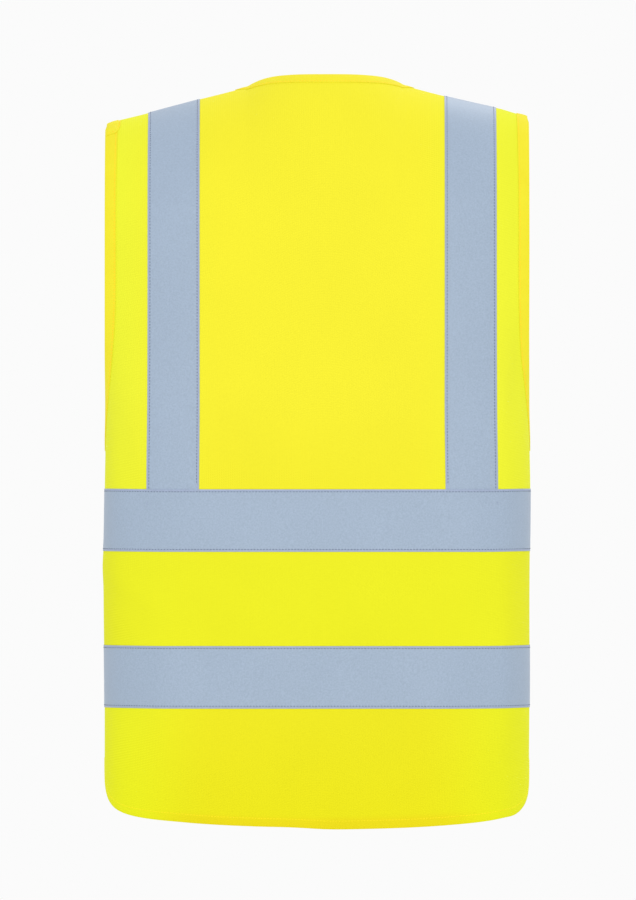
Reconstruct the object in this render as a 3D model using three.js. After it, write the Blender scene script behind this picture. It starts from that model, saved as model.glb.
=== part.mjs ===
// A sleeveless high visibility vest in the shape that it has when it is worn and closed.
// Millimetres, +Z up. The wearer faces -Y, so the back of the vest is at +Y and the left at +X.
// The origin is midway between the neck ends of the two shoulder seams.
// Every piece lies on one draped body surface, and is a thin sheet between two offsets of it.
import * as THREE from 'three';

// The body that the cloth hangs round.
const BODY_HALF_WIDTH = 206;
const BODY_HALF_DEPTH = 118;
const SHOULDER_POWER = 2.5;
const CHEST_POWER = 4.4;
const HEM_POWER = 3.2;
const HEM_DROP = 700;
const SHOULDER_ROUND = 130;

// Shoulders and neckline.
const NECK_HALF_WIDTH = 75.5;
const SHOULDER_SLOPE = 0.245;
const NAPE_RISE = 11;
const NAPE_CURVE = 4;
const NAPE_SETBACK = 65;
const NECK_V_DEPTH = 250;
const NECK_V_CURVE = 1.15;

// Armholes, measured on the body.
const ARMHOLE_HALF_DEPTH = 80;
const UNDERARM_HEIGHT = -340;
const UNDERARM_CURVE_HEIGHT = 160;

// Hem: low at the centre back and front, higher at the side seams.
const HEM_HEIGHT = -716;
const HEM_SIDE_RISE = 60;
const HEM_RISE_REACH = 60;

// Front closure: the left front lies over the right front.
const FRONT_OVERLAP = 40;
const UNDERLAP_SINK = 4.8;
const UNDERLAP_START = 112;
const UNDERLAP_RUN = 92;

// Reflective tape.
const BAND_WIDTH = 60;
const UPPER_BAND_TOP = -388.4;
const LOWER_BAND_TOP = -539;
const BRACE_WIDTH = 50;
const BRACE_INNER_EDGE = 118.5;
const TAPE_THICKNESS = 0.7;

// Cloth, binding and the clearance that sewn pieces keep.
const CLOTH_THICKNESS = 1.2;
const BINDING_WIDTH = 11.6;
const BINDING_THICKNESS = 0.6;
const SEWN_GAP = 0.35;
const BINDING_GAP = 0.8;
const SEAM_GAP = 0.5;

// Hook and loop patches, and the blank care label.
const PATCH_WIDTH = FRONT_OVERLAP - 2 * (BINDING_WIDTH + 2 * SEWN_GAP);
const PATCH_LENGTH = 90;
const PATCH_THICKNESS = 1.0;
const UPPER_PATCH_TOP = -272;
const LOWER_PATCH_TOP = -448.7;
const LABEL_WIDTH = 38;
const LABEL_LENGTH = 66;
const LABEL_TOP = -462;
const LABEL_FROM_SEAM = 14;
const LABEL_THICKNESS = 0.5;

const BRACE_OUTER_EDGE = BRACE_INNER_EDGE + BRACE_WIDTH;
const QUARTER_BEND = SHOULDER_ROUND * Math.PI / 2;
const EDGE_INSET = BINDING_THICKNESS + SEWN_GAP;
const BACK = 1;
const FRONT = -1;
const SHOULDER_TIP_HEIGHT = (NECK_HALF_WIDTH - BODY_HALF_WIDTH) * SHOULDER_SLOPE;
const UNDERARM_DROP = SHOULDER_TIP_HEIGHT - UNDERARM_HEIGHT;

// Height of the shoulder line over x; over the neck it is the line that the cloth rises towards.
function crestHeight(side, x) {
  const across = Math.abs(x) / NECK_HALF_WIDTH;
  if (side === FRONT || across >= 1) return (NECK_HALF_WIDTH - Math.abs(x)) * SHOULDER_SLOPE;
  const setback = NAPE_SETBACK * (1 - across ** 2) ** 0.8 / BODY_HALF_DEPTH;
  return napeHeight(x) + SHOULDER_ROUND * (1 - Math.sqrt(1 - setback ** 2));
}

function napeHeight(x) {
  return NAPE_RISE * (1 - (Math.abs(x) / NECK_HALF_WIDTH) ** NAPE_CURVE);
}

// Drape is the length of cloth from the shoulder line; drop is the height that it falls.
function dropAt(drape) {
  if (drape >= QUARTER_BEND) return SHOULDER_ROUND + drape - QUARTER_BEND;
  return SHOULDER_ROUND * (1 - Math.cos(drape / SHOULDER_ROUND));
}

function drapeAt(drop) {
  if (drop >= SHOULDER_ROUND) return QUARTER_BEND + drop - SHOULDER_ROUND;
  return SHOULDER_ROUND * Math.acos(1 - Math.max(drop, 0) / SHOULDER_ROUND);
}

// Depth of the armhole edge from the shoulder line's plane: nothing below the underarm.
function armholeDepth(drop) {
  const above = THREE.MathUtils.clamp((UNDERARM_DROP - drop) / UNDERARM_CURVE_HEIGHT, 0, 1);
  return ARMHOLE_HALF_DEPTH * Math.sqrt(1 - (1 - above) ** 2);
}

// The body's level section is a rounded box. It is squarest under the arms. Over the armholes it
// is a wider and rounder box that the cloth leaves at the body's own width, at the armhole depth.
function sectionPower(drop) {
  const { lerp, clamp, smoothstep } = THREE.MathUtils;
  if (drop < UNDERARM_DROP) {
    const low = smoothstep(drop, UNDERARM_DROP - UNDERARM_CURVE_HEIGHT, UNDERARM_DROP);
    return lerp(SHOULDER_POWER, CHEST_POWER, low);
  }
  return lerp(CHEST_POWER, HEM_POWER, clamp((drop - UNDERARM_DROP) / (HEM_DROP - UNDERARM_DROP), 0, 1));
}

function sectionHalfWidth(drop) {
  const power = sectionPower(drop);
  return BODY_HALF_WIDTH / (1 - (armholeDepth(drop) / BODY_HALF_DEPTH) ** power) ** (1 / power);
}

// Angles go from 0 at the centre to a quarter turn at the side seam.
function angleAtWidth(x, drop) {
  const power = sectionPower(drop);
  const across = x / sectionHalfWidth(drop);
  const deep = Math.max(0, 1 - Math.abs(across) ** power) ** (1 / power);
  return Math.atan2(across, deep);
}

function angleAtDepth(y, drop) {
  const power = sectionPower(drop);
  const deep = y / BODY_HALF_DEPTH;
  const across = (1 - deep ** power) ** (1 / power);
  return Math.atan2(across, deep);
}

function bodyPoint(side, angle, drape) {
  const drop = dropAt(Math.abs(drape));
  const power = sectionPower(drop);
  const reach = (Math.abs(Math.sin(angle)) ** power + Math.abs(Math.cos(angle)) ** power) ** (-1 / power);
  const x = sectionHalfWidth(drop) * Math.sin(angle) * reach;
  const depth = BODY_HALF_DEPTH * Math.cos(angle) * reach;
  const bulge = Math.abs(drape) < QUARTER_BEND ? Math.sin(drape / SHOULDER_ROUND) : 1;
  return new THREE.Vector3(x, side * depth * bulge, crestHeight(side, x) - drop);
}

function slopes(side, angle, drape) {
  const angleStep = 1e-4;
  const drapeStep = 1e-2;
  const across = bodyPoint(side, angle + angleStep, drape);
  across.sub(bodyPoint(side, angle - angleStep, drape)).divideScalar(2 * angleStep);
  const down = bodyPoint(side, angle, drape + drapeStep);
  down.sub(bodyPoint(side, angle, drape - drapeStep)).divideScalar(2 * drapeStep);
  return { across, down };
}

function outward(side, angle, drape) {
  const { across, down } = slopes(side, angle, drape);
  return across.cross(down).multiplyScalar(side).normalize();
}

// The right front sinks under the left front towards the centre.
function sinkAt(x) {
  return UNDERLAP_SINK * THREE.MathUtils.smoothstep(UNDERLAP_START - x, 0, UNDERLAP_RUN);
}

// A half of the vest: the back as a whole, the left front, or the right front, which is the
// left front's pattern turned over and laid underneath.
const backHalf = { side: BACK, hand: 1, sinks: false };
const backHalfTurned = { side: BACK, hand: -1, sinks: false };
const leftFront = { side: FRONT, hand: 1, sinks: false };
const rightFront = { side: FRONT, hand: -1, sinks: true };

function clothPoint(half, spot, offset) {
  const point = bodyPoint(half.side, spot.angle, spot.drape);
  const lift = half.sinks ? offset - sinkAt(point.x) : offset;
  point.addScaledVector(outward(half.side, spot.angle, spot.drape), lift);
  point.x *= half.hand;
  return point;
}

// The spot that lies a distance away over the surface, setting off along a direction.
function walk(half, spot, direction, distance) {
  const steps = 8;
  const next = { ...spot };
  for (let step = 0; step < steps; step += 1) {
    const { across, down } = slopes(half.side, next.angle, next.drape);
    const normal = outward(half.side, next.angle, next.drape);
    const heading = direction.clone().projectOnPlane(normal).normalize();
    const aa = across.dot(across);
    const dd = down.dot(down);
    const ad = across.dot(down);
    const ha = heading.dot(across);
    const hd = heading.dot(down);
    const scale = distance / steps / (aa * dd - ad * ad);
    next.angle += (ha * dd - hd * ad) * scale;
    next.drape += (hd * aa - ha * ad) * scale;
  }
  return next;
}

// A spot at a stated height, in the column that angleOf gives for a drop.
function spotAtHeight(half, angleOf, height) {
  let drop = -height;
  let angle = 0;
  for (let pass = 0; pass < 4; pass += 1) {
    angle = angleOf(drop);
    drop = crestHeight(half.side, bodyPoint(half.side, angle, drapeAt(drop)).x) - height;
  }
  return { angle, drape: drapeAt(drop) };
}

function turnedOut(geometry) {
  const position = geometry.getAttribute('position');
  const index = geometry.getIndex();
  const corner = [new THREE.Vector3(), new THREE.Vector3(), new THREE.Vector3()];
  let volume = 0;
  for (let start = 0; start < index.count; start += 3) {
    corner.forEach((point, place) => point.fromBufferAttribute(position, index.getX(start + place)));
    volume += corner[0].dot(corner[1].clone().cross(corner[2]));
  }
  if (volume < 0) index.array.reverse();
  geometry.computeVertexNormals();
  return geometry;
}

// A closed thin solid: a grid of columns and rows with an inner face (0) and an outer face (1).
function gridSolid(columns, rows, place) {
  const geometry = new THREE.BoxGeometry(columns, rows, 1, columns, rows, 1);
  const position = geometry.getAttribute('position');
  for (let vertex = 0; vertex < position.count; vertex += 1) {
    const column = Math.round(position.getX(vertex) + columns / 2);
    const row = Math.round(position.getY(vertex) + rows / 2);
    const face = Math.round(position.getZ(vertex) + 0.5);
    const point = place(column, row, face);
    position.setXYZ(vertex, point.x, point.y, point.z);
  }
  matchDiagonals(geometry);
  return turnedOut(geometry);
}

// The box's last group is its inner face. Its quads are split like those of the outer face, so
// that a thin sheet keeps its thickness where the quads are twisted.
function matchDiagonals(geometry) {
  const { array } = geometry.getIndex();
  const { start, count } = geometry.groups[5];
  for (let quad = start; quad < start + count; quad += 6) {
    const [a, b, d, , c] = array.slice(quad, quad + 5);
    array.set([a, b, c, a, c, d], quad);
  }
}

// The armhole edge on one side: from the shoulder seam down and round to the side seam.
const SHOULDER_ROWS = 11;
const SHOULDER_ROW_GROWTH = 1.25;
const STRAIGHT_ROWS = 3;
const UNDERARM_ROWS = 12;
const SKIRT_ROWS = 7;
const ARMHOLE_ROWS = SHOULDER_ROWS + STRAIGHT_ROWS + UNDERARM_ROWS;

function armholeSpot(row) {
  const curveDrape = drapeAt(UNDERARM_DROP - UNDERARM_CURVE_HEIGHT);
  let drop = 0;
  if (row <= SHOULDER_ROWS) {
    const share = (row / SHOULDER_ROWS) ** SHOULDER_ROW_GROWTH;
    drop = dropAt(THREE.MathUtils.lerp(SEAM_GAP / 2, QUARTER_BEND, share));
  } else if (row <= SHOULDER_ROWS + STRAIGHT_ROWS) {
    const share = (row - SHOULDER_ROWS) / STRAIGHT_ROWS;
    drop = dropAt(THREE.MathUtils.lerp(QUARTER_BEND, curveDrape, share));
  } else {
    const swing = (ARMHOLE_ROWS - row) / UNDERARM_ROWS * Math.PI / 2;
    drop = UNDERARM_DROP - UNDERARM_CURVE_HEIGHT * (1 - Math.cos(swing));
  }
  const depth = Math.max(armholeDepth(drop), SEAM_GAP / 2);
  return { angle: angleAtDepth(depth, drop), drape: drapeAt(drop) };
}

const armholeSpots = Array.from({ length: ARMHOLE_ROWS + 1 }, (_, row) => armholeSpot(row));
const underarmDrape = armholeSpots[ARMHOLE_ROWS].drape;

// The direction over the cloth, away from an edge: square to the edge and towards the panel.
function inwardDirection(half, spots, row, inwardHint) {
  const before = spots[Math.max(row - 1, 0)];
  const after = spots[Math.min(row + 1, spots.length - 1)];
  const along = bodyPoint(half.side, after.angle, after.drape);
  along.sub(bodyPoint(half.side, before.angle, before.drape));
  const inward = outward(half.side, spots[row].angle, spots[row].drape).cross(along).normalize();
  return inward.dot(inwardHint) < 0 ? inward.negate() : inward;
}

function insetSpot(half, spots, row, inwardHint, distance) {
  return walk(half, spots[row], inwardDirection(half, spots, row, inwardHint), distance);
}

const armholeHint = new THREE.Vector3(-1, 0, -0.4);

function sideSeamAngle(drop) {
  return angleAtDepth(SEAM_GAP / 2, drop);
}

// Hem height from the distance to the side seam, straight across the section.
function hemHeight(point) {
  const fromSeam = Math.hypot(BODY_HALF_WIDTH - Math.abs(point.x), point.y);
  return HEM_HEIGHT + HEM_SIDE_RISE * Math.exp(-fromSeam / HEM_RISE_REACH);
}

function hemDrape(half, angleOf) {
  let drop = -HEM_HEIGHT;
  for (let pass = 0; pass < 4; pass += 1) {
    const point = bodyPoint(half.side, angleOf(drop), drapeAt(drop));
    drop = crestHeight(half.side, point.x) - hemHeight(point);
  }
  return drapeAt(drop);
}

// Columns outside the brace run from the brace's edge to the panel's edge.
const OUTER_COLUMNS = 7;

function outerAngle(share, drop) {
  return THREE.MathUtils.lerp(angleAtWidth(BRACE_OUTER_EDGE, drop), sideSeamAngle(drop), share);
}

// One spot of a panel. A column starts at its top spot and ends at the hem; above the underarm,
// the outer columns end at the armhole edge.
function panelSpot(half, angleOf, outerShare, row, topSpot) {
  if (row > ARMHOLE_ROWS) {
    const share = (row - ARMHOLE_ROWS) / SKIRT_ROWS;
    const low = hemDrape(half, angleOf);
    const drape = THREE.MathUtils.lerp(underarmDrape + EDGE_INSET, low, share);
    return { angle: angleOf(dropAt(drape)), drape };
  }
  const nominal = armholeSpots[row].drape;
  const share = Math.min(nominal / QUARTER_BEND, 1);
  const drape = nominal + Math.max(topSpot.drape - SEAM_GAP / 2, 0) * (1 - share);
  const root = THREE.MathUtils.lerp(topSpot.angle, angleOf(dropAt(drape)), share);
  if (outerShare === 0) return { angle: root, drape };
  const edge = insetSpot(half, armholeSpots, row, armholeHint, EDGE_INSET);
  const inner = angleAtWidth(BRACE_OUTER_EDGE, dropAt(drape));
  return {
    angle: THREE.MathUtils.lerp(inner, edge.angle, outerShare),
    drape: THREE.MathUtils.lerp(drape, Math.max(edge.drape, SEAM_GAP / 2), outerShare),
  };
}

function seamSpot(angleOf) {
  return { angle: angleOf(dropAt(SEAM_GAP / 2)), drape: SEAM_GAP / 2 };
}

// Half of the back neckline, from the centre to the shoulder seam.
const NECK_STEPS = 8;

function neckSpot(step) {
  const width = NECK_HALF_WIDTH * Math.sin(step / NECK_STEPS * Math.PI / 2);
  const drop = crestHeight(BACK, width) - napeHeight(width);
  const drape = step === NECK_STEPS ? SEAM_GAP / 2 : drapeAt(drop);
  return { angle: angleAtWidth(width, dropAt(drape)), drape };
}

const neckSpots = Array.from({ length: 2 * NECK_STEPS + 1 }, (_, place) => {
  const spot = neckSpot(Math.abs(place - NECK_STEPS));
  return { angle: spot.angle * Math.sign(place - NECK_STEPS + 0.5), drape: spot.drape };
});
const neckHint = new THREE.Vector3(0, 0.3, -1);

// Back panel columns: the steps of the neckline, the brace edges, then the outer columns.
const neckWidths = Array.from({ length: NECK_STEPS + 1 }, (_, step) => step / NECK_STEPS * NECK_HALF_WIDTH);
const braceWidths = [BRACE_INNER_EDGE, (BRACE_INNER_EDGE + BRACE_OUTER_EDGE) / 2, BRACE_OUTER_EDGE];
const backWidths = [...neckWidths, ...braceWidths];
const BACK_HALF_COLUMNS = backWidths.length - 1 + OUTER_COLUMNS;

function columnAngle(widths, column, drop) {
  if (column < widths.length) return angleAtWidth(widths[column], drop);
  return outerAngle((column - widths.length + 1) / OUTER_COLUMNS, drop);
}

function backPanel() {
  const place = (column, row, face) => {
    const signed = column - BACK_HALF_COLUMNS;
    const steps = Math.abs(signed);
    const half = signed < 0 ? backHalfTurned : backHalf;
    const outerShare = Math.max(0, (steps - backWidths.length + 1) / OUTER_COLUMNS);
    const angleOf = (drop) => columnAngle(backWidths, steps, drop);
    const top = steps > NECK_STEPS
      ? seamSpot(angleOf)
      : insetSpot(backHalf, neckSpots, NECK_STEPS + steps, neckHint, EDGE_INSET);
    const spot = panelSpot(half, angleOf, outerShare, row, top);
    return clothPoint(half, spot, face * CLOTH_THICKNESS);
  };
  return gridSolid(2 * BACK_HALF_COLUMNS, ARMHOLE_ROWS + SKIRT_ROWS, place);
}

// Front edge: the V of the neckline, then straight down past the centre.
function frontEdgeWidth(height) {
  const straight = -FRONT_OVERLAP / 2;
  const up = THREE.MathUtils.clamp(1 + height / NECK_V_DEPTH, 0, 1);
  return straight + (NECK_HALF_WIDTH - straight) * up ** NECK_V_CURVE;
}

function frontEdgeAngle(drape, inset) {
  let width = NECK_HALF_WIDTH;
  const drop = dropAt(drape);
  for (let pass = 0; pass < 12; pass += 1) {
    width = (width + frontEdgeWidth(crestHeight(FRONT, width) - drop)) / 2;
  }
  return angleAtWidth(width + inset, drop);
}

// Front panel columns: shares of the way from the front edge to the brace, then as on the back.
const frontShares = [0, 0.25, 0.5, 0.75, 1];
const INNER_COLUMNS = frontShares.length - 1;
const FRONT_COLUMNS = INNER_COLUMNS + braceWidths.length - 1 + OUTER_COLUMNS;

function frontColumnAngle(column, drop, inset) {
  if (column >= INNER_COLUMNS) return columnAngle(braceWidths, column - INNER_COLUMNS, drop);
  const edge = frontEdgeAngle(drapeAt(drop), inset);
  return THREE.MathUtils.lerp(edge, angleAtWidth(BRACE_INNER_EDGE, drop), frontShares[column]);
}

function frontPanel(half) {
  const place = (column, row, face) => {
    const outerColumn = column - INNER_COLUMNS - braceWidths.length + 1;
    const outerShare = Math.max(0, outerColumn / OUTER_COLUMNS);
    const angleOf = (drop) => frontColumnAngle(column, drop, EDGE_INSET);
    const spot = panelSpot(half, angleOf, outerShare, row, seamSpot(angleOf));
    return clothPoint(half, spot, face * CLOTH_THICKNESS);
  };
  return gridSolid(FRONT_COLUMNS, ARMHOLE_ROWS + SKIRT_ROWS, place);
}

// Reflective tape lies on the cloth and has the cloth's own columns and rows.
const tapeOffsets = [CLOTH_THICKNESS + SEWN_GAP, CLOTH_THICKNESS + SEWN_GAP + TAPE_THICKNESS];

function backBand(top) {
  const place = (column, row, face) => {
    const signed = column - BACK_HALF_COLUMNS;
    const half = signed < 0 ? backHalfTurned : backHalf;
    const angleOf = (drop) => columnAngle(backWidths, Math.abs(signed), drop);
    const spot = spotAtHeight(half, angleOf, top - row * BAND_WIDTH);
    return clothPoint(half, spot, tapeOffsets[face]);
  };
  return gridSolid(2 * BACK_HALF_COLUMNS, 1, place);
}

function frontBand(half, top) {
  const besideBinding = BINDING_WIDTH + SEWN_GAP;
  const place = (column, row, face) => {
    const angleOf = (drop) => frontColumnAngle(column, drop, column === 0 ? besideBinding : EDGE_INSET);
    const spot = spotAtHeight(half, angleOf, top - row * BAND_WIDTH);
    return clothPoint(half, spot, tapeOffsets[face]);
  };
  return gridSolid(FRONT_COLUMNS, 1, place);
}

// A brace ends at the upper band, and starts at the shoulder seam.
function brace(half) {
  const endHeight = UPPER_BAND_TOP + SEWN_GAP;
  const place = (column, row, face) => {
    const angleOf = (drop) => angleAtWidth(braceWidths[column], drop);
    const lowest = spotAtHeight(half, angleOf, endHeight);
    const last = row === ARMHOLE_ROWS;
    const spot = last ? lowest : panelSpot(half, angleOf, 0, row, seamSpot(angleOf));
    return clothPoint(half, spot, tapeOffsets[face]);
  };
  return gridSolid(braceWidths.length - 1, ARMHOLE_ROWS, place);
}

// Binding is a strip folded over a raw edge: two legs joined by the fold.
const legInner = CLOTH_THICKNESS / 2 + BINDING_GAP;
const legOuter = legInner + BINDING_THICKNESS;
function bindingSection(legSteps) {
  const section = [];
  for (const face of [1, -1]) {
    for (let place = 0; place <= legSteps; place += 1) {
      const step = face > 0 ? legSteps - place : place;
      const inset = BINDING_WIDTH * step / legSteps;
      const inner = { inset: Math.max(inset, BINDING_THICKNESS), offset: face * legInner };
      section.push([inner, { inset, offset: face * legOuter }]);
    }
  }
  return section;
}

function binding(half, spots, inwardHint, legSteps = 1) {
  const section = bindingSection(legSteps);
  const place = (column, row, face) => {
    const { inset, offset } = section[column][face];
    const spot = insetSpot(half, spots, row, inwardHint, inset);
    spot.drape = Math.max(spot.drape, SEAM_GAP / 2);
    return clothPoint(half, spot, offset + CLOTH_THICKNESS / 2);
  };
  return gridSolid(section.length - 1, spots.length - 1, place);
}

function armholeBinding(half) {
  return binding(half, armholeSpots, armholeHint, 2);
}

function frontEdgeBinding(half) {
  const spots = [];
  for (let row = 0; row <= ARMHOLE_ROWS + SKIRT_ROWS; row += 1) {
    const angleOf = (drop) => frontEdgeAngle(drapeAt(drop), 0);
    spots.push(panelSpot(half, angleOf, 0, row, seamSpot(angleOf)));
  }
  return binding(half, spots, new THREE.Vector3(1, 0, 0));
}

function backNeckBinding() {
  const legSteps = 4;
  return binding(backHalf, neckSpots, neckHint, legSteps);
}

// Hook patches face inwards on the left front; loop patches face outwards on the right front.
function patch(half, top, offsets) {
  const rows = 3;
  const place = (column, row, face) => {
    const width = (column - 0.5) * PATCH_WIDTH;
    const angleOf = (drop) => angleAtWidth(width, drop);
    const spot = spotAtHeight(half, angleOf, top - PATCH_LENGTH * row / rows);
    return clothPoint(half, spot, offsets[face]);
  };
  return gridSolid(1, rows, place);
}

const hookOffsets = [-SEWN_GAP - PATCH_THICKNESS, -SEWN_GAP];
const loopOffsets = [CLOTH_THICKNESS + SEWN_GAP, CLOTH_THICKNESS + SEWN_GAP + PATCH_THICKNESS];

function careLabel() {
  const columns = 3;
  const place = (column, row, face) => {
    const depth = LABEL_FROM_SEAM + LABEL_WIDTH * column / columns;
    const angleOf = (drop) => angleAtDepth(depth, drop);
    const spot = spotAtHeight(backHalf, angleOf, LABEL_TOP - LABEL_LENGTH * row);
    return clothPoint(backHalf, spot, -2 * SEWN_GAP - LABEL_THICKNESS * (1 - face));
  };
  return gridSolid(columns, 1, place);
}

const finishes = {
  cloth: { color: '#f3ee35', roughness: 0.85 },
  binding: { color: '#f5e935', roughness: 0.8 },
  tape: { color: '#a9bace', roughness: 0.45 },
  hook: { color: '#dfe03a', roughness: 0.9 },
  label: { color: '#f4f4f0', roughness: 0.6 },
};

function piece(name, geometry, finish) {
  const material = new THREE.MeshStandardMaterial({ ...finishes[finish], metalness: 0 });
  const mesh = new THREE.Mesh(geometry, material);
  mesh.name = name;
  return mesh;
}

function backPieces() {
  const group = new THREE.Group();
  group.add(piece('back_panel', backPanel(), 'cloth'));
  group.add(piece('back_upper_band', backBand(UPPER_BAND_TOP), 'tape'));
  group.add(piece('back_lower_band', backBand(LOWER_BAND_TOP), 'tape'));
  group.add(piece('back_left_brace', brace(backHalf), 'tape'));
  group.add(piece('back_right_brace', brace(backHalfTurned), 'tape'));
  group.add(piece('back_neck_binding', backNeckBinding(), 'binding'));
  group.add(piece('back_left_armhole_binding', armholeBinding(backHalf), 'binding'));
  group.add(piece('back_right_armhole_binding', armholeBinding(backHalfTurned), 'binding'));
  group.add(piece('care_label', careLabel(), 'label'));
  return group;
}

function frontPieces(name, half, patchName, patchOffsets) {
  const group = new THREE.Group();
  group.add(piece(`${name}_panel`, frontPanel(half), 'cloth'));
  group.add(piece(`${name}_upper_band`, frontBand(half, UPPER_BAND_TOP), 'tape'));
  group.add(piece(`${name}_lower_band`, frontBand(half, LOWER_BAND_TOP), 'tape'));
  group.add(piece(`${name}_brace`, brace(half), 'tape'));
  group.add(piece(`${name}_edge_binding`, frontEdgeBinding(half), 'binding'));
  group.add(piece(`${name}_armhole_binding`, armholeBinding(half), 'binding'));
  group.add(piece(`upper_${patchName}_patch`, patch(half, UPPER_PATCH_TOP, patchOffsets), 'hook'));
  group.add(piece(`lower_${patchName}_patch`, patch(half, LOWER_PATCH_TOP, patchOffsets), 'hook'));
  return group;
}

const vest = new THREE.Group();
vest.add(backPieces());
vest.add(frontPieces('left_front', leftFront, 'hook', hookOffsets));
vest.add(frontPieces('right_front', rightFront, 'loop', loopOffsets));

export default vest;
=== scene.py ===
import math

import bmesh
import bpy
import numpy as np
from mathutils import Matrix, Vector


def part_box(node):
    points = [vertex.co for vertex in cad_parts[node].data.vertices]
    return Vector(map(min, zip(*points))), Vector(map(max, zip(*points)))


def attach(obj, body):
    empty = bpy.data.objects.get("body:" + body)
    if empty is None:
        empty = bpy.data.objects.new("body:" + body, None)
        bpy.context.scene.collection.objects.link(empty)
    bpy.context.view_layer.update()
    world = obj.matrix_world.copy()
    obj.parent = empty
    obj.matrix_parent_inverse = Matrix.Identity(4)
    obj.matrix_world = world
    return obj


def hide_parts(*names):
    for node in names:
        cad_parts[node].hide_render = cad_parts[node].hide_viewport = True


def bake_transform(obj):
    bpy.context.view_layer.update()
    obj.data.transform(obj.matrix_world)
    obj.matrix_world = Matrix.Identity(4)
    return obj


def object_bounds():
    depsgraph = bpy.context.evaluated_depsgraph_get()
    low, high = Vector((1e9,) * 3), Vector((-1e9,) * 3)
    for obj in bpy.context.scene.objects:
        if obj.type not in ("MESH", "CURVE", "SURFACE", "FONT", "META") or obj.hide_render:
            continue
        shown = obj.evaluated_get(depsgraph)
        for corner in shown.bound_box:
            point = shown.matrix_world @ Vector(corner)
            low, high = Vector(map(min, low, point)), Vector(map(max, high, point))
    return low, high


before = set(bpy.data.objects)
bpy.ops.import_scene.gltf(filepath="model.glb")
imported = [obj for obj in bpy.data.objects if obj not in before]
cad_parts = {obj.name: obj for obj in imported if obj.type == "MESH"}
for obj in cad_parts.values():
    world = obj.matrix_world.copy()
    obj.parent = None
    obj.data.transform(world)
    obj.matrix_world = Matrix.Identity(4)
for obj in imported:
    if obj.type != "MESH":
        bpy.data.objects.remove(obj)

cad_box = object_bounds()
MM = 0.001

# Camera. The vest is looked at from behind, level with its middle and from far off through a
# long lens, so that nearer parts hardly grow.
CAMERA_DISTANCE = 25.0
CAMERA_LENS = 1036.25
CAMERA_ASIDE = -0.0007
CAMERA_RISE = 0.0003
middle = (Vector(cad_box[0]) + Vector(cad_box[1])) / 2
target = Vector((CAMERA_ASIDE, 0, middle.z + CAMERA_RISE))
camera = bpy.data.objects.new("camera", bpy.data.cameras.new("camera"))
camera.data.lens = CAMERA_LENS
camera.location = target + Vector((0, CAMERA_DISTANCE, 0))
camera.rotation_euler = (target - camera.location).to_track_quat("-Z", "Y").to_euler()
bpy.context.scene.collection.objects.link(camera)
bpy.context.scene.camera = camera


# Studio. White surroundings light the vest evenly from all round. A broad soft light on the back
# and a higher one on the front give the cloth form. The floor is pale and matt.
WHITE_ROOM = "#fbfbfb"
FLOOR_DROP = 0.48
FLOOR_HALF = 10.0
LIGHT_SPREAD = math.radians(40)
LIGHT_STRENGTH = 0.80
LIGHT_PLACES = ((-0.1, 4.0, 0.5), (-1.2, -2.9, 2.5))


def colour(code):
    """Linear colour, with alpha, from sRGB hex."""
    parts = [int(code[place:place + 2], 16) / 255 for place in (1, 3, 5)]
    linear = [c / 12.92 if c <= 0.04045 else ((c + 0.055) / 1.055) ** 2.4 for c in parts]
    return (*linear, 1.0)


def add_node(tree, kind, settings=None, links=None):
    """Adds a node; settings name its properties or sockets, links name the sockets that feed it."""
    node = tree.nodes.new(kind)
    for name, value in (settings or {}).items():
        if isinstance(name, int) or name in node.inputs:
            node.inputs[name].default_value = value
        else:
            setattr(node, name, value)
    for name, source in (links or {}).items():
        tree.links.new(source, node.inputs[name])
    return node


def new_finish(name):
    """A material and its node tree, which is empty."""
    material = bpy.data.materials.new(name)
    material.use_nodes = True
    material.node_tree.nodes.clear()
    return material, material.node_tree


world = bpy.data.worlds.new("white room")
world.use_nodes = True
world.node_tree.nodes["Background"].inputs["Color"].default_value = colour(WHITE_ROOM)
bpy.context.scene.world = world
bpy.context.scene.view_settings.view_transform = "Standard"

for name, place in zip(("back_light", "front_light"), LIGHT_PLACES):
    lamp = bpy.data.objects.new(name, bpy.data.lights.new(name, "SUN"))
    lamp.data.angle = LIGHT_SPREAD
    lamp.data.energy = LIGHT_STRENGTH
    lamp.location = place
    lamp.rotation_euler = (target - lamp.location).to_track_quat("-Z", "Y").to_euler()
    bpy.context.scene.collection.objects.link(lamp)

floor_finish, tree = new_finish("matt_floor_paint")
grain = add_node(tree, "ShaderNodeTexNoise", {"Scale": 40.0})
bump = add_node(tree, "ShaderNodeBump", {"Strength": 0.02}, {"Height": grain.outputs["Fac"]})
shader = add_node(
    tree, "ShaderNodeBsdfPrincipled", {"Base Color": colour("#e9e9e7"), "Roughness": 0.9},
    {"Normal": bump.outputs["Normal"]},
)
add_node(tree, "ShaderNodeOutputMaterial", links={"Surface": shader.outputs["BSDF"]})
bm = bmesh.new()
bmesh.ops.create_grid(bm, x_segments=2, y_segments=2, size=FLOOR_HALF)
bmesh.ops.translate(bm, verts=bm.verts, vec=(0, 0, cad_box[0][2] - FLOOR_DROP))
floor = bpy.data.objects.new("floor", bpy.data.meshes.new("floor"))
bm.to_mesh(floor.data)
bm.free()
floor.data.materials.append(floor_finish)
bpy.context.scene.collection.objects.link(floor)


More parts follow.
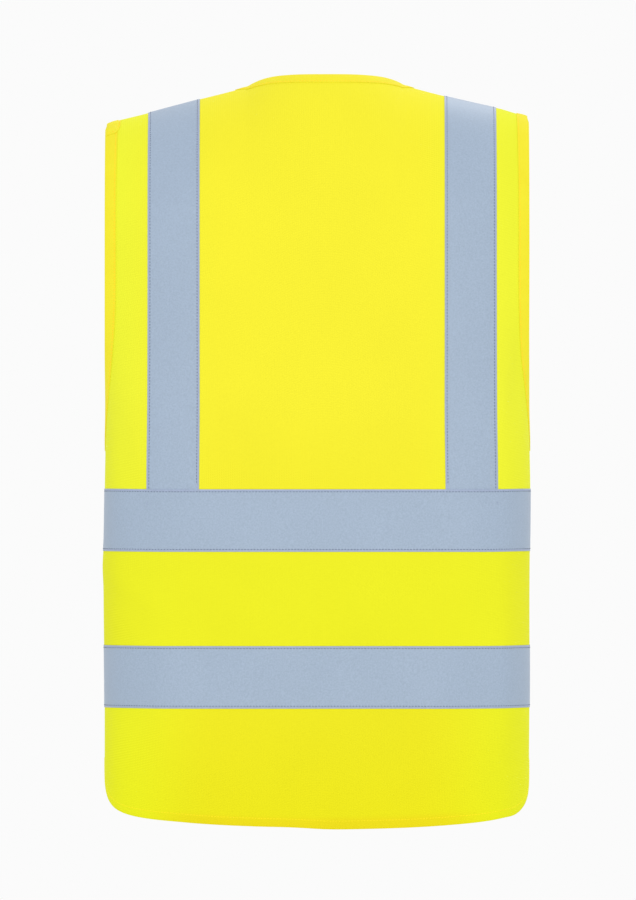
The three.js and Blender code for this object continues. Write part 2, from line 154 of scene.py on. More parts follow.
# Back panel. One piece of fluorescent yellow knitted polyester, cut to the shape of the back and
# sewn to the fronts at the shoulders and sides. Its lower edge is turned in twice and stitched.
# It hangs round the wearer's body: from the shoulder line over a quarter bend, then straight down.
panel_high = np.array(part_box("back_panel")[1]) / MM
CAD_CLOTH = 1.2
HALF_WIDTH = panel_high[0] - CAD_CLOTH
HALF_DEPTH = panel_high[1] - CAD_CLOTH
SHOULDER_POWER = 2.5
CHEST_POWER = 4.4
HEM_POWER = 3.2
HEM_DROP = 700
SHOULDER_ROUND = 130
QUARTER_BEND = SHOULDER_ROUND * math.pi / 2
NECK_HALF_WIDTH = 75.5
SHOULDER_SLOPE = 0.245
NAPE_RISE = 11
NAPE_CURVE = 4
NAPE_SETBACK = 65
NAPE_FULLNESS = 0.8
ARMHOLE_HALF_DEPTH = 80
UNDERARM_HEIGHT = -340
UNDERARM_CURVE_HEIGHT = 160
UNDERARM_DROP = (NECK_HALF_WIDTH - HALF_WIDTH) * SHOULDER_SLOPE - UNDERARM_HEIGHT
HEM_HEIGHT = -716
HEM_SIDE_RISE = 60
HEM_RISE_REACH = 50
HEM_ARCH = 15
HEM_TURN = 9.0
HEM_PAINTED_SHADE_REACH = 16.0
HEM_STEP = 0.8
HEM_FOLD_INNER = 0.7
HEM_FOLD_OUTER = 0.25
HEM_ROUND = 1.6
SEAM_PINCH = 0.45
SEAM_PINCH_REACH = 1.6
BRACE_INNER_EDGE = 118.5
BRACE_OUTER_EDGE = 168.5
CLOTH_INNER = 0.1
CLOTH_OUTER = 1.0
BACK, FRONT = 1, -1


def eased(value):
    """0 below 0, 1 above 1, and smooth between."""
    value = np.clip(value, 0, 1)
    return value * value * (3 - 2 * value)


def crest(side, x):
    """Height of the shoulder line over x, and over the neck of the line the cloth rises towards."""
    across = np.clip(np.abs(x) / NECK_HALF_WIDTH, 0, 1)
    line = (NECK_HALF_WIDTH - np.abs(x)) * SHOULDER_SLOPE
    if side == FRONT:
        return line
    setback = NAPE_SETBACK * (1 - across**2) ** NAPE_FULLNESS / HALF_DEPTH
    over_neck = nape(x) + SHOULDER_ROUND * (1 - np.sqrt(1 - setback**2))
    return np.where(across < 1, over_neck, line)


def nape(x):
    return NAPE_RISE * (1 - np.clip(np.abs(x) / NECK_HALF_WIDTH, 0, 1) ** NAPE_CURVE)


def drop_at(drape):
    """Height that the cloth falls in a length of cloth from the shoulder line."""
    drape = np.abs(drape)
    bent = SHOULDER_ROUND * (1 - np.cos(np.minimum(drape, QUARTER_BEND) / SHOULDER_ROUND))
    return bent + np.maximum(drape - QUARTER_BEND, 0)


def drape_at(drop):
    bent = SHOULDER_ROUND * np.arccos(1 - np.clip(drop, 0, SHOULDER_ROUND) / SHOULDER_ROUND)
    return bent + np.maximum(drop - SHOULDER_ROUND, 0)


def armhole_depth(drop):
    above = np.clip((UNDERARM_DROP - drop) / UNDERARM_CURVE_HEIGHT, 0, 1)
    return ARMHOLE_HALF_DEPTH * np.sqrt(1 - (1 - above) ** 2)


def section_power(drop):
    """The level section is a rounded box, squarest under the arms."""
    low = eased((drop - UNDERARM_DROP + UNDERARM_CURVE_HEIGHT) / UNDERARM_CURVE_HEIGHT)
    above = SHOULDER_POWER + (CHEST_POWER - SHOULDER_POWER) * low
    share = np.clip((drop - UNDERARM_DROP) / (HEM_DROP - UNDERARM_DROP), 0, 1)
    return np.where(drop < UNDERARM_DROP, above, CHEST_POWER + (HEM_POWER - CHEST_POWER) * share)


def section_half_width(drop):
    power = section_power(drop)
    return HALF_WIDTH / (1 - (armhole_depth(drop) / HALF_DEPTH) ** power) ** (1 / power)


def angle_at_width(x, drop):
    power = section_power(drop)
    across = x / section_half_width(drop)
    return np.arctan2(across, np.maximum(0, 1 - np.abs(across) ** power) ** (1 / power))


def angle_at_depth(y, drop):
    power = section_power(drop)
    deep = y / HALF_DEPTH
    return np.arctan2((1 - deep**power) ** (1 / power), deep)


def body(side, angle, drape):
    """Points on the draped body surface. Angle is 0 at the centre and a quarter turn at the side."""
    drop = drop_at(drape)
    power = section_power(drop)
    reach = (np.abs(np.sin(angle)) ** power + np.abs(np.cos(angle)) ** power) ** (-1 / power)
    x = section_half_width(drop) * np.sin(angle) * reach
    bulge = np.where(np.abs(drape) < QUARTER_BEND, np.sin(drape / SHOULDER_ROUND), np.sign(drape))
    y = side * HALF_DEPTH * np.cos(angle) * reach * bulge
    return np.stack([x, y, crest(side, x) - drop], axis=-1)


def slopes(side, angle, drape):
    turn, slide = 1e-4, 1e-2
    across = (body(side, angle + turn, drape) - body(side, angle - turn, drape)) / (2 * turn)
    down = (body(side, angle, drape + slide) - body(side, angle, drape - slide)) / (2 * slide)
    return across, down


def outward(side, angle, drape):
    across, down = slopes(side, angle, drape)
    normal = np.cross(across, down) * side
    return normal / np.linalg.norm(normal, axis=-1, keepdims=True)


# The right front sinks to lie under the left one. Each fold is depth, length, lean and start; each
# crease is x, z, lean, half width, half length and depth.
UNDERLAP_SINK = 4.8
UNDERLAP_START = 112
UNDERLAP_RUN = 92
FOLDS = [(2.2, 172, 0.35, 0.6), (1.5, 118, -0.55, 2.1), (0.7, 67, 0.2, 4.0)]
FOLD_SIDE_SHARE = 0.35
FOLDS_FROM = -200
FOLDS_RUN = 450
CREASES = [
    (-112, -495, -0.9, 15, 40, 2.0), (178, -485, 0.8, 12, 45, 2.2), (-50, -640, 0.1, 9, 28, -1.2),
    (-75, -692, -1.1, 11, 40, -1.4), (150, -650, 0.35, 26, 60, 1.8), (188, -352, 0.2, 8, 48, -1.6),
    (-192, -290, -0.15, 8, 60, -1.5), (-150, -655, -0.5, 20, 50, 1.6), (95, -470, 1.2, 14, 46, -1.2),
    (20, -560, 0.9, 22, 60, 1.0), (-60, -330, 0.5, 24, 60, 0.9), (60, -250, -0.4, 26, 70, 0.8),
]
TOP_FROM = -330
TOP_RUN = 290
UPPER_FROM = -400
UPPER_RUN = 100
SIDE_STRIP = 6
SIDE_RUN = 30
BACK_SHIFT = 4.9
NECK_SHIFT = 3.7
NECK_SHIFT_RUN = 50
NAPE_EASE = 1.3
NAPE_EASE_RUN = 40
NAPE_EASE_FROM = -60
SHOULDER_TILT = 0.012
TILT_REACH = 195
LEFT_SAG = 2.0
SAG_FROM = 40
SAG_RUN = 70
SIDE_EASE = 0.991
UPPER_EASE = 0.006
UPPER_SHIFT = 0.2
MIDDLE_SPREAD = 0.008
TIP_ROUND = 1.4
TIP_FROM = 195
TIP_DEPTH = 6
HEM_RIGHT_FALL = 3.0
HEM_LEFT_RISE = 1.8
LEFT_RISE_FROM = -20
LEFT_RISE_TO = 190
LEFT_RISE_RUN = 60
HEM_CORNER_FROM = 172
HEM_UNEVEN_FROM = -600


def soft_folds(x, z):
    """Shallow folds in millimetres out of the cloth: none at the shoulders, deepest near the hem."""
    low = eased((FOLDS_FROM - z) / FOLDS_RUN)
    beside = FOLD_SIDE_SHARE + (1 - FOLD_SIDE_SHARE) * eased((HALF_WIDTH - np.abs(x)) / 45)
    height = 0.0
    for depth, length, lean, start in FOLDS:
        height = height + depth * np.sin(2 * np.pi * (x + lean * z) / length + start)
    height = height * low * beside
    for crease_x, crease_z, lean, across, along, depth in CREASES:
        u = (x - crease_x) * np.cos(lean) - (z - crease_z) * np.sin(lean)
        v = (x - crease_x) * np.sin(lean) + (z - crease_z) * np.cos(lean)
        height = height + depth * np.exp(-((u / across) ** 2) - (v / along) ** 2)
    return height


def worn(points):
    """The worn shape isn't quite even: the back and neck sit to the right, the left shoulder is
    lower, and the hem falls at the right corner and rises a little on the left."""
    x, y, z = points[..., 0], points[..., 1], points[..., 2]
    top = eased((z - TOP_FROM) / TOP_RUN)
    upper = eased((z - UPPER_FROM) / UPPER_RUN)
    amid = eased((HALF_WIDTH - SIDE_STRIP - np.abs(x)) / SIDE_RUN)
    below_line = (NECK_HALF_WIDTH - np.abs(x)) * SHOULDER_SLOPE - z
    tip = TIP_ROUND * eased(1 - below_line / TIP_DEPTH) * eased((np.abs(x) - TIP_FROM) / 12)
    shift = BACK_SHIFT * amid - UPPER_SHIFT * upper
    shift = shift + NECK_SHIFT * eased((BRACE_INNER_EDGE - np.abs(x)) / NECK_SHIFT_RUN) * top
    fall = SHOULDER_TILT * x * (x / TILT_REACH) ** 2 + LEFT_SAG * eased((x - SAG_FROM) / SAG_RUN)
    over_neck = eased((NECK_HALF_WIDTH - np.abs(x)) / NAPE_EASE_RUN)
    fall = fall + NAPE_EASE * over_neck * eased((z - NAPE_EASE_FROM) / 50)
    hem_fall = HEM_RIGHT_FALL * eased((-x - HEM_CORNER_FROM) / 25)
    risen = eased((x - LEFT_RISE_FROM) / LEFT_RISE_RUN) * eased((LEFT_RISE_TO - x) / LEFT_RISE_RUN)
    hem_fall = hem_fall - HEM_LEFT_RISE * risen
    fall = fall * top + hem_fall * eased((HEM_UNEVEN_FROM - z) / 100)
    x = x * (SIDE_EASE - UPPER_EASE * upper + MIDDLE_SPREAD * amid) - shift - tip * np.sign(x)
    return np.stack([x, y, z - fall], axis=-1)


def cloth(side, hand, angle, drape, offset):
    """Points in millimetres at an offset from the body, on the back, left front or right front."""
    points = body(side, angle, drape)
    lift = offset + soft_folds(points[..., 0] * hand, points[..., 2])
    if side == FRONT and hand < 0:
        lift = lift - UNDERLAP_SINK * eased((UNDERLAP_START - points[..., 0]) / UNDERLAP_RUN)
    points = points + outward(side, angle, drape) * np.asarray(lift)[..., None]
    return worn(points * np.array([hand, 1, 1]))


def sewn_piece(name, columns, rows, place, finish):
    """A thin closed sheet of columns by rows squares; place lays its two faces, 0 in and 1 out."""
    bm = bmesh.new()
    bmesh.ops.create_grid(bm, x_segments=columns, y_segments=rows, size=0.5)
    bmesh.ops.solidify(bm, geom=bm.faces[:] + bm.edges[:] + bm.verts[:], thickness=0.1)
    mesh = bpy.data.meshes.new(name)
    bm.to_mesh(mesh)
    bm.free()
    flat = np.empty(3 * len(mesh.vertices))
    mesh.vertices.foreach_get("co", flat)
    flat = flat.reshape(-1, 3)
    column = np.rint((flat[:, 0] + 0.5) * columns).astype(int)
    row = np.rint((flat[:, 1] + 0.5) * rows).astype(int)
    outer = (flat[:, 2] > flat[:, 2].mean()).astype(float)
    points, pattern = place(column, row, outer)
    mesh.vertices.foreach_set("co", (points * MM).ravel())
    corners = np.empty(len(mesh.loops), dtype=np.int32)
    mesh.loops.foreach_get("vertex_index", corners)
    layer = mesh.uv_layers.new(name="pattern")
    layer.uv.foreach_set("vector", (pattern * MM)[corners].ravel().astype(np.float32))
    return finished(name, mesh, finish)


SHARP_TURN = math.radians(50)


def finished(name, mesh, finish):
    """Turns a closed mesh outwards, marks its sharp edges and links it as a piece."""
    bm = bmesh.new()
    bm.from_mesh(mesh)
    if bm.calc_volume(signed=True) < 0:
        bmesh.ops.reverse_faces(bm, faces=bm.faces)
    for face in bm.faces:
        face.smooth = True
    for edge in bm.edges:
        edge.smooth = edge.calc_face_angle(0) < SHARP_TURN
    bm.to_mesh(mesh)
    bm.free()
    mesh.materials.append(finish)
    piece = bpy.data.objects.new(name, mesh)
    bpy.context.scene.collection.objects.link(piece)
    return piece


def armhole_edge():
    """The armhole edge on one half, from the shoulder seam down and round to the side seam."""
    over = np.concatenate([[0, 0.8, 1.6, 2.6], np.linspace(4, QUARTER_BEND, 50)])
    straight = drape_at(np.linspace(SHOULDER_ROUND, UNDERARM_DROP - UNDERARM_CURVE_HEIGHT, 6))[1:]
    round_to_side = np.linspace(np.pi / 2, 0, 46)[1:]
    curved = drape_at(UNDERARM_DROP - UNDERARM_CURVE_HEIGHT * (1 - np.cos(round_to_side)))
    drape = np.concatenate([over, straight, curved])
    drop = drop_at(drape)
    depth = np.where(drop >= UNDERARM_DROP - 1e-9, 0, armhole_depth(drop))
    return angle_at_depth(depth, drop), drape


armhole_angle, armhole_drape = armhole_edge()
ARMHOLE_ROWS = len(armhole_drape) - 1
SKIRT_ROWS = 88
HEM_ROWS = np.array([HEM_TURN + 1.2, HEM_TURN + 0.3, 6.5, 4, 1.8, 0.6, 0])
OUTER_SHARES = np.append(np.linspace(0, 0.965, 27), [0.978, 0.988, 0.995, 1])
OUTER_COLUMNS = len(OUTER_SHARES) - 1


def hem_height(point):
    from_seam = np.hypot(np.hypot(HALF_WIDTH - np.abs(point[..., 0]), point[..., 1]), HEM_ARCH) - HEM_ARCH
    return HEM_HEIGHT + HEM_SIDE_RISE * np.exp(-from_seam / HEM_RISE_REACH)


def hem_drape(side, angle_of):
    """Length of cloth down to the hem in columns whose angle angle_of gives for a drop."""
    drop = -HEM_HEIGHT + 0 * angle_of(300.0)
    for _ in range(5):
        point = body(side, angle_of(drop), drape_at(drop))
        drop = crest(side, point[..., 0]) - hem_height(point)
    return drape_at(drop)


def panel_spots(side, inner_x, top, outer_share, row):
    """Angle, drape and distance to the hem of a panel's grid points, for columns at inner_x(drop)
    as far as the brace's outer edge, and beyond it a share of the way to the panel's edge."""
    is_outer = outer_share > 0

    def angle_of(drop):
        root = angle_at_width(inner_x(drop), drop)
        return root + outer_share * (np.pi / 2 - root)

    upper = np.minimum(row, ARMHOLE_ROWS)
    nominal = armhole_drape[upper]
    drape = nominal + top * (1 - np.minimum(nominal / QUARTER_BEND, 1))
    root = angle_at_width(inner_x(drop_at(drape)), drop_at(drape))
    angle = np.where(is_outer, root + outer_share * (armhole_angle[upper] - root), root)
    low = hem_drape(side, angle_of)
    share = (row - ARMHOLE_ROWS) / (SKIRT_ROWS - len(HEM_ROWS) + 1)
    start = armhole_drape[-1]
    skirt = start + share * (low - HEM_ROWS[0] - start)
    last = ARMHOLE_ROWS + SKIRT_ROWS - len(HEM_ROWS) + 1
    skirt = np.where(row >= last, low - HEM_ROWS[np.clip(row - last, 0, len(HEM_ROWS) - 1)], skirt)
    is_skirt = row > ARMHOLE_ROWS
    drape = np.where(is_skirt, skirt, drape)
    angle = np.where(is_skirt, angle_of(drop_at(drape)), angle)
    return angle, drape, low - drape


def cloth_thickness(outer, seam_distance, hem_distance):
    """Offset of a panel's face: pinched in at a seam, doubled and rounded off at the turned hem."""
    doubled = eased((HEM_TURN + 0.9 - hem_distance) / HEM_STEP)
    inner_face = CLOTH_INNER - HEM_FOLD_INNER * doubled
    outer_face = CLOTH_OUTER + HEM_FOLD_OUTER * doubled
    outer_face = outer_face - SEAM_PINCH * np.exp(-((seam_distance / SEAM_PINCH_REACH) ** 2))
    middle_face = (inner_face + outer_face) / 2
    round_off = np.sqrt(np.clip(hem_distance / HEM_ROUND, 0.02, 1))
    return middle_face + (np.where(outer > 0.5, outer_face, inner_face) - middle_face) * round_off


WIDE = np.linspace(0, np.pi / 2, 400)
wide_points = body(BACK, WIDE, drape_at(np.full(400, 400.0)))
ARC = np.append(0, np.cumsum(np.linalg.norm(np.diff(wide_points, axis=0), axis=1)))


def pattern_at(angle, drape):
    """Place on the flat cloth in millimetres: round the body, and down from the shoulder line."""
    around = np.sign(angle) * np.interp(np.abs(angle), WIDE, ARC)
    return np.stack([around, np.broadcast_to(drape, around.shape)], axis=-1)


NECK_COLUMNS = 20
SHOULDER_COLUMNS = 24
BACK_WIDTHS = np.concatenate([
    np.linspace(0, NECK_HALF_WIDTH, NECK_COLUMNS + 1),
    np.linspace(NECK_HALF_WIDTH, BRACE_OUTER_EDGE, SHOULDER_COLUMNS + 1)[1:],
])
BACK_HALF = len(BACK_WIDTHS) - 1 + OUTER_COLUMNS
PAST_SEAM = 9


def lay_back(column, row, outer):
    """The back's grid. Its neck edge has no seam, so the cloth isn't pinched in there."""
    signed = column - BACK_HALF
    steps = np.abs(signed)
    inner = np.minimum(steps, len(BACK_WIDTHS) - 1)
    width = BACK_WIDTHS[inner]
    share = OUTER_SHARES[np.clip(steps - len(BACK_WIDTHS) + 1, 0, OUTER_COLUMNS)]
    top = drape_at(np.maximum(crest(BACK, width) - nape(width), 0)) * (width < NECK_HALF_WIDTH - 1e-6)
    angle, drape, to_hem = panel_spots(BACK, lambda drop: width + 0 * drop, top, share, row)
    depth = body(BACK, angle, drape)[..., 1]
    offset = cloth_thickness(outer, np.minimum(drape + PAST_SEAM * (top > 0), depth), to_hem)
    angle = angle * np.where(signed < 0, -1, 1)
    return cloth(BACK, 1, angle, drape, offset), pattern_at(angle, drape)


def knit_finish(name, top_colour, low_painted_shade_colour, side_painted_shade_colour, low_side_painted_shade_colour, between_bands_painted_shade_colour, hem_painted_shade_colour):
    """Fluorescent knitted polyester: matt, with the fine ribs of a warp knit, painted darker in their
    grooves.
    Painted light and shade make it pure yellow in the middle, more green towards the sides, darker lower
    down and between the bands, and warmer at the doubled hem. Its glow is partly fluorescence, partly
    painted light."""
    material, tree = new_finish(name)
    place = add_node(tree, "ShaderNodeTexCoord")
    axes = add_node(tree, "ShaderNodeSeparateXYZ", links={0: place.outputs["Object"]})
    # Painted shade: from the top colour at the upper height to a darker colour lower down.
    fall = add_node(
        tree, "ShaderNodeMapRange", {"From Min": PAINTED_SHADE_TOP, "From Max": PAINTED_SHADE_BOTTOM},
        {"Value": axes.outputs["Z"]},
    )
    upright = add_node(
        tree, "ShaderNodeMix",
        {"data_type": "RGBA", 6: colour(top_colour), 7: colour(low_painted_shade_colour)},
        {"Factor": fall.outputs["Result"]},
    )
    # Painted shade: more green towards the sides, where the cloth turns away from the light.
    width = add_node(tree, "ShaderNodeMath", {"operation": "ABSOLUTE"}, {0: axes.outputs["X"]})
    aside = add_node(
        tree, "ShaderNodeMapRange",
        {"interpolation_type": "SMOOTHSTEP", "From Min": PAINTED_SIDE_SHADE_FROM, "From Max": PAINTED_SIDE_SHADE_TO},
        {"Value": width.outputs["Value"]},
    )
    painted_side_shade = add_node(
        tree, "ShaderNodeMix",
        {"data_type": "RGBA", 6: colour(side_painted_shade_colour), 7: colour(low_side_painted_shade_colour)},
        {"Factor": fall.outputs["Result"]},
    )
    sided = add_node(
        tree, "ShaderNodeMix", {"data_type": "RGBA"},
        {"Factor": aside.outputs["Result"], 6: upright.outputs[2], 7: painted_side_shade.outputs[2]},
    )
    # Painted shade: warmer along the doubled hem, fading towards the sides.
    turn = add_node(
        tree, "ShaderNodeMapRange",
        {"interpolation_type": "SMOOTHSTEP", "From Min": 0.1, "From Max": 0.6},
        {"Value": add_node(tree, "ShaderNodeAttribute", {"attribute_name": "hem"}).outputs["Fac"]},
    )
    inwards = add_node(
        tree, "ShaderNodeMapRange", {"From Max": 0.7, "To Min": 1.0, "To Max": 0.0},
        {"Value": aside.outputs["Result"]},
    )
    turned = add_node(
        tree, "ShaderNodeMath", {"operation": "MULTIPLY"},
        {0: turn.outputs["Result"], 1: inwards.outputs["Result"]},
    )
    # Painted shade: duller and more green in a strip between the two bands of tape.
    between_bands = add_node(
        tree, "ShaderNodeMath", {"operation": "SUBTRACT", 1: PAINTED_SHADE_BETWEEN_BANDS}, {0: axes.outputs["Z"]}
    )
    away = add_node(
        tree, "ShaderNodeMath", {"operation": "ABSOLUTE"}, {0: between_bands.outputs["Value"]}
    )
    between_bands_painted_shade = add_node(
        tree, "ShaderNodeMapRange",
        {"interpolation_type": "SMOOTHSTEP", "From Min": PAINTED_SHADE_BETWEEN_REACH, "From Max": PAINTED_SHADE_BETWEEN_CORE,
         "To Max": 0.8},
        {"Value": away.outputs["Value"]},
    )
    banded = add_node(
        tree, "ShaderNodeMix", {"data_type": "RGBA", 7: colour(between_bands_painted_shade_colour)},
        {"Factor": between_bands_painted_shade.outputs["Result"], 6: sided.outputs[2]},
    )
    hemmed = add_node(
        tree, "ShaderNodeMix", {"data_type": "RGBA", 7: colour(hem_painted_shade_colour)},
        {"Factor": turned.outputs["Value"], 6: banded.outputs[2]},
    )
    mottle = add_node(
        tree, "ShaderNodeTexNoise", {"Scale": 9.0, "Detail": 4.0}, {"Vector": place.outputs["Object"]}
    )
    uneven = add_node(
        tree, "ShaderNodeMapRange", {"To Min": 0.965, "To Max": 1.035}, {"Value": mottle.outputs["Fac"]}
    )
    dyed = add_node(
        tree, "ShaderNodeVectorMath", {"operation": "SCALE"},
        {0: hemmed.outputs[2], "Scale": uneven.outputs["Result"]},
    )
    ribs = add_node(
        tree, "ShaderNodeTexWave",
        {"bands_direction": "X", "Scale": WAVE_PERIOD / RIB_PITCH,
         "Distortion": 0.6, "Detail Scale": 2.0},
        {"Vector": place.outputs["UV"]},
    )
    courses = add_node(
        tree, "ShaderNodeTexWave",
        {"bands_direction": "Y", "Scale": WAVE_PERIOD / COURSE_PITCH,
         "Distortion": 1.2, "Detail Scale": 2.0},
        {"Vector": place.outputs["UV"]},
    )
    loops = add_node(
        tree, "ShaderNodeMath", {"operation": "MULTIPLY"},
        {0: ribs.outputs["Fac"], 1: courses.outputs["Fac"]},
    )
    bump = add_node(
        tree, "ShaderNodeBump", {"Strength": 0.35, "Distance": 0.0004}, {"Height": loops.outputs["Value"]}
    )
    # Painted shade in the knit's grooves: the colour is scaled lower there than on the ridges.
    darker = add_node(
        tree, "ShaderNodeMapRange", {"To Min": KNIT_SHADED_GROOVES, "To Max": KNIT_RIDGES},
        {"Value": loops.outputs["Value"]},
    )
    knitted = add_node(
        tree, "ShaderNodeVectorMath", {"operation": "SCALE"},
        {0: dyed.outputs["Vector"], "Scale": darker.outputs["Result"]},
    )
    shader = add_node(
        tree, "ShaderNodeBsdfPrincipled",
        {"Roughness": 0.88, "Specular IOR Level": 0.15, "Emission Strength": FLUORESCENT_AND_PAINTED_GLOW},
        {"Base Color": knitted.outputs["Vector"], "Emission Color": knitted.outputs["Vector"],
         "Normal": bump.outputs["Normal"]},
    )
    add_node(tree, "ShaderNodeOutputMaterial", links={"Surface": shader.outputs["BSDF"]})
    return material


# Heights and widths of the knit's painted light and shade, in metres. The real knit has a rib every 0.9 mm,
# which is too fine to show, so it is drawn coarser.
PAINTED_SHADE_TOP = -0.30
PAINTED_SHADE_BOTTOM = -0.72
PAINTED_SIDE_SHADE_FROM = 0.09
PAINTED_SIDE_SHADE_TO = 0.20
PAINTED_SHADE_BETWEEN_BANDS = -0.495
PAINTED_SHADE_BETWEEN_REACH = 0.09
PAINTED_SHADE_BETWEEN_CORE = 0.03
# Scales of the knit's colour; the lower one, in the grooves, is painted shade.
KNIT_SHADED_GROOVES = 0.702
KNIT_RIDGES = 0.754
# Emission of the knit and binding: partly their real fluorescence, partly painted light that lifts their
# shaded parts.
FLUORESCENT_AND_PAINTED_GLOW = 0.25
RIB_PITCH = 1.8 * MM
COURSE_PITCH = 2.4 * MM
WAVE_PERIOD = 2 * math.pi / 20
knit = knit_finish(
    "fluorescent_yellow_warp_knit", "#f6ed31", "#ece612", "#eff434", "#ecf016", "#ecee20", "#eddd14"
)


def mark_painted_hem_shade(piece, place_to_hem):
    """Keeps how near a panel's points are to the turned hem, from 0 to 1 at its edge: the mask of the
    painted hem shade.
    """
    values = 1 - np.clip(place_to_hem / HEM_PAINTED_SHADE_REACH, 0, 1)
    attribute = piece.data.attributes.new("hem", "FLOAT", "POINT")
    attribute.data.foreach_set("value", values.astype(np.float32))


def hem_distances(piece):
    """Height of each point over the hem line, straight up, in millimetres."""
    flat = np.empty(3 * len(piece.data.vertices))
    piece.data.vertices.foreach_get("co", flat)
    points = flat.reshape(-1, 3) / MM
    return points[:, 2] - hem_height(points)


back_cloth = sewn_piece("back_cloth", 2 * BACK_HALF, ARMHOLE_ROWS + SKIRT_ROWS, lay_back, knit)
mark_painted_hem_shade(back_cloth, hem_distances(back_cloth))
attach(back_cloth, "back")
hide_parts("back_panel")


# Front panels, left and right. The same knit as the back. Each runs from the shoulder to the hem,
# and from the armhole and side seam to a V neckline and a straight edge past the centre, so that
# the left front lies over the right one where they close.
FRONT_OVERLAP = 40
NECK_V_DEPTH = 250
NECK_V_CURVE = 1.15
FRONT_INNER = 48
FRONT_COLUMNS = FRONT_INNER + OUTER_COLUMNS


def front_edge_x(drop):
    """Where the front edge lies at a drop: the V of the neckline, then straight past the centre."""
    straight = -FRONT_OVERLAP / 2
    x = np.full(np.shape(drop), float(NECK_HALF_WIDTH))
    for _ in range(14):
        up = np.clip(1 + (crest(FRONT, x) - drop) / NECK_V_DEPTH, 0, 1)
        x = (x + straight + (NECK_HALF_WIDTH - straight) * up**NECK_V_CURVE) / 2
    return x


def lay_front(hand):
    def lay(column, row, outer):
        inner = np.minimum(column, FRONT_INNER) / FRONT_INNER
        share = OUTER_SHARES[np.clip(column - FRONT_INNER, 0, OUTER_COLUMNS)]

        def inner_x(drop):
            edge = front_edge_x(drop + 0 * inner)
            return edge + inner * (BRACE_OUTER_EDGE - edge)

        angle, drape, to_hem = panel_spots(FRONT, inner_x, 0, share, row)
        depth = -body(FRONT, angle, drape)[..., 1]
        offset = cloth_thickness(outer, np.minimum(drape, depth), to_hem)
        return cloth(FRONT, hand, angle, drape, offset), pattern_at(angle * hand, drape)
    return lay


def swing(piece, front):
    """Cloth that is sewn to the back at the shoulder and side: bakes its placement into its mesh. The front
    is not used.
    """
    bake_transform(piece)


for front, hand in (("left_front", 1), ("right_front", -1)):
    panel = sewn_piece(f"{front}_cloth", FRONT_COLUMNS, ARMHOLE_ROWS + SKIRT_ROWS, lay_front(hand), knit)
    mark_painted_hem_shade(panel, hem_distances(panel))
    swing(panel, front)
    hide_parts(f"{front}_panel")


# Reflective tape, in two bands round the body and a brace over each shoulder. Glass beads bonded
# to a silver grey polyester tape, sewn flat with a line of stitches near each edge. The braces go
# on first, and their ends lie under the upper band.
TAPE_INNER = CLOTH_OUTER + 0.05
TAPE_OUTER = CLOTH_OUTER + 0.45
BRACE_UNDER_BAND = 9
BINDING_WIDTH = 11.6
BAND_LINES = 10
BAND_SIDE_LIFT = 0.6
BAND_LIFT_FROM = 150
BAND_LIFT_RUN = 60
BRACE_BULGE = 0.42
BRACE_BULGE_RUN = 3


def spot_at_height(side, angle_of, height):
    """Angle and drape at a height, in columns whose angle angle_of gives for a drop."""
    drop = -height + 0 * angle_of(300.0)
    for _ in range(5):
        x = body(side, angle_of(drop), drape_at(drop))[..., 0]
        drop = crest(side, x) - height
    return angle_of(drop), drape_at(drop)


def band_height(node):
    low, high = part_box(node)
    return low[2] / MM + 0.1, high[2] / MM


def over_brace(x, below_top):
    """The upper band's rise where it covers a brace's end."""
    run = BRACE_BULGE_RUN
    beside = eased((np.abs(x) - BRACE_INNER_EDGE + run) / run)
    beside = beside * eased((BRACE_OUTER_EDGE + run - np.abs(x)) / run)
    return BRACE_BULGE * beside * eased((BRACE_UNDER_BAND + run - below_top) / run)


BACK_BAND_COLUMNS = 150
FRONT_BAND_COLUMNS = 80
FRONT_BAND_START = -FRONT_OVERLAP / 2 + BINDING_WIDTH + 0.3


def band_spots(side, share, height):
    """Angle, drape and width of spots on a band. Share runs from one side seam at -1 to the other
    at 1 on the back, and from the band's start at 0 to the side seam at 1 on a front."""
    def angle_of(drop):
        edge = 0 if side == BACK else angle_at_width(FRONT_BAND_START, drop)
        return edge + np.abs(share) * (np.pi / 2 - edge)

    angle, drape = spot_at_height(side, angle_of, height)
    angle = angle * np.where(share < 0, -1, 1)
    x = body(side, angle, drape)[..., 0]
    drape = drape - BAND_SIDE_LIFT * eased((np.abs(x) - BAND_LIFT_FROM) / BAND_LIFT_RUN)
    return angle, drape, x


def lay_band(node, side, hand, lifts):
    low, high = band_height(node)

    def lay(column, row, outer):
        height = high - (high - low) * row / BAND_LINES
        share = column / BACK_BAND_COLUMNS * 2 - 1 if side == BACK else column / FRONT_BAND_COLUMNS
        angle, drape, x = band_spots(side, share, height)
        lift = over_brace(x, high - height) if lifts else 0
        points = cloth(side, hand, angle, drape, np.where(outer > 0.5, TAPE_OUTER, TAPE_INNER) + lift)
        around = pattern_at(angle, drape)[..., 0]
        return points, np.stack([around, (high - low) * row / BAND_LINES], axis=-1)
    return lay


def brace_ends():
    """Length of cloth from the shoulder seam to the brace's end, under the upper band."""
    low, high = band_height("back_upper_band")
    middle_x = (BRACE_INNER_EDGE + BRACE_OUTER_EDGE) / 2
    return spot_at_height(BACK, lambda drop: angle_at_width(middle_x, drop), high - BRACE_UNDER_BAND)[1]


BRACE_LINES = 10
BRACE_ROWS = 220
brace_length = float(brace_ends())


def lay_brace(hand):
    def lay(column, row, outer):
        x = BRACE_INNER_EDGE + (BRACE_OUTER_EDGE - BRACE_INNER_EDGE) * column / BRACE_LINES
        drape = brace_length * (1 - 2 * row / BRACE_ROWS)
        angle = angle_at_width(x, drop_at(drape))
        points = cloth(BACK, 1, angle * hand, drape, np.where(outer > 0.5, TAPE_OUTER, TAPE_INNER))
        return points, np.stack([drape, x - BRACE_INNER_EDGE], axis=-1)
    return lay


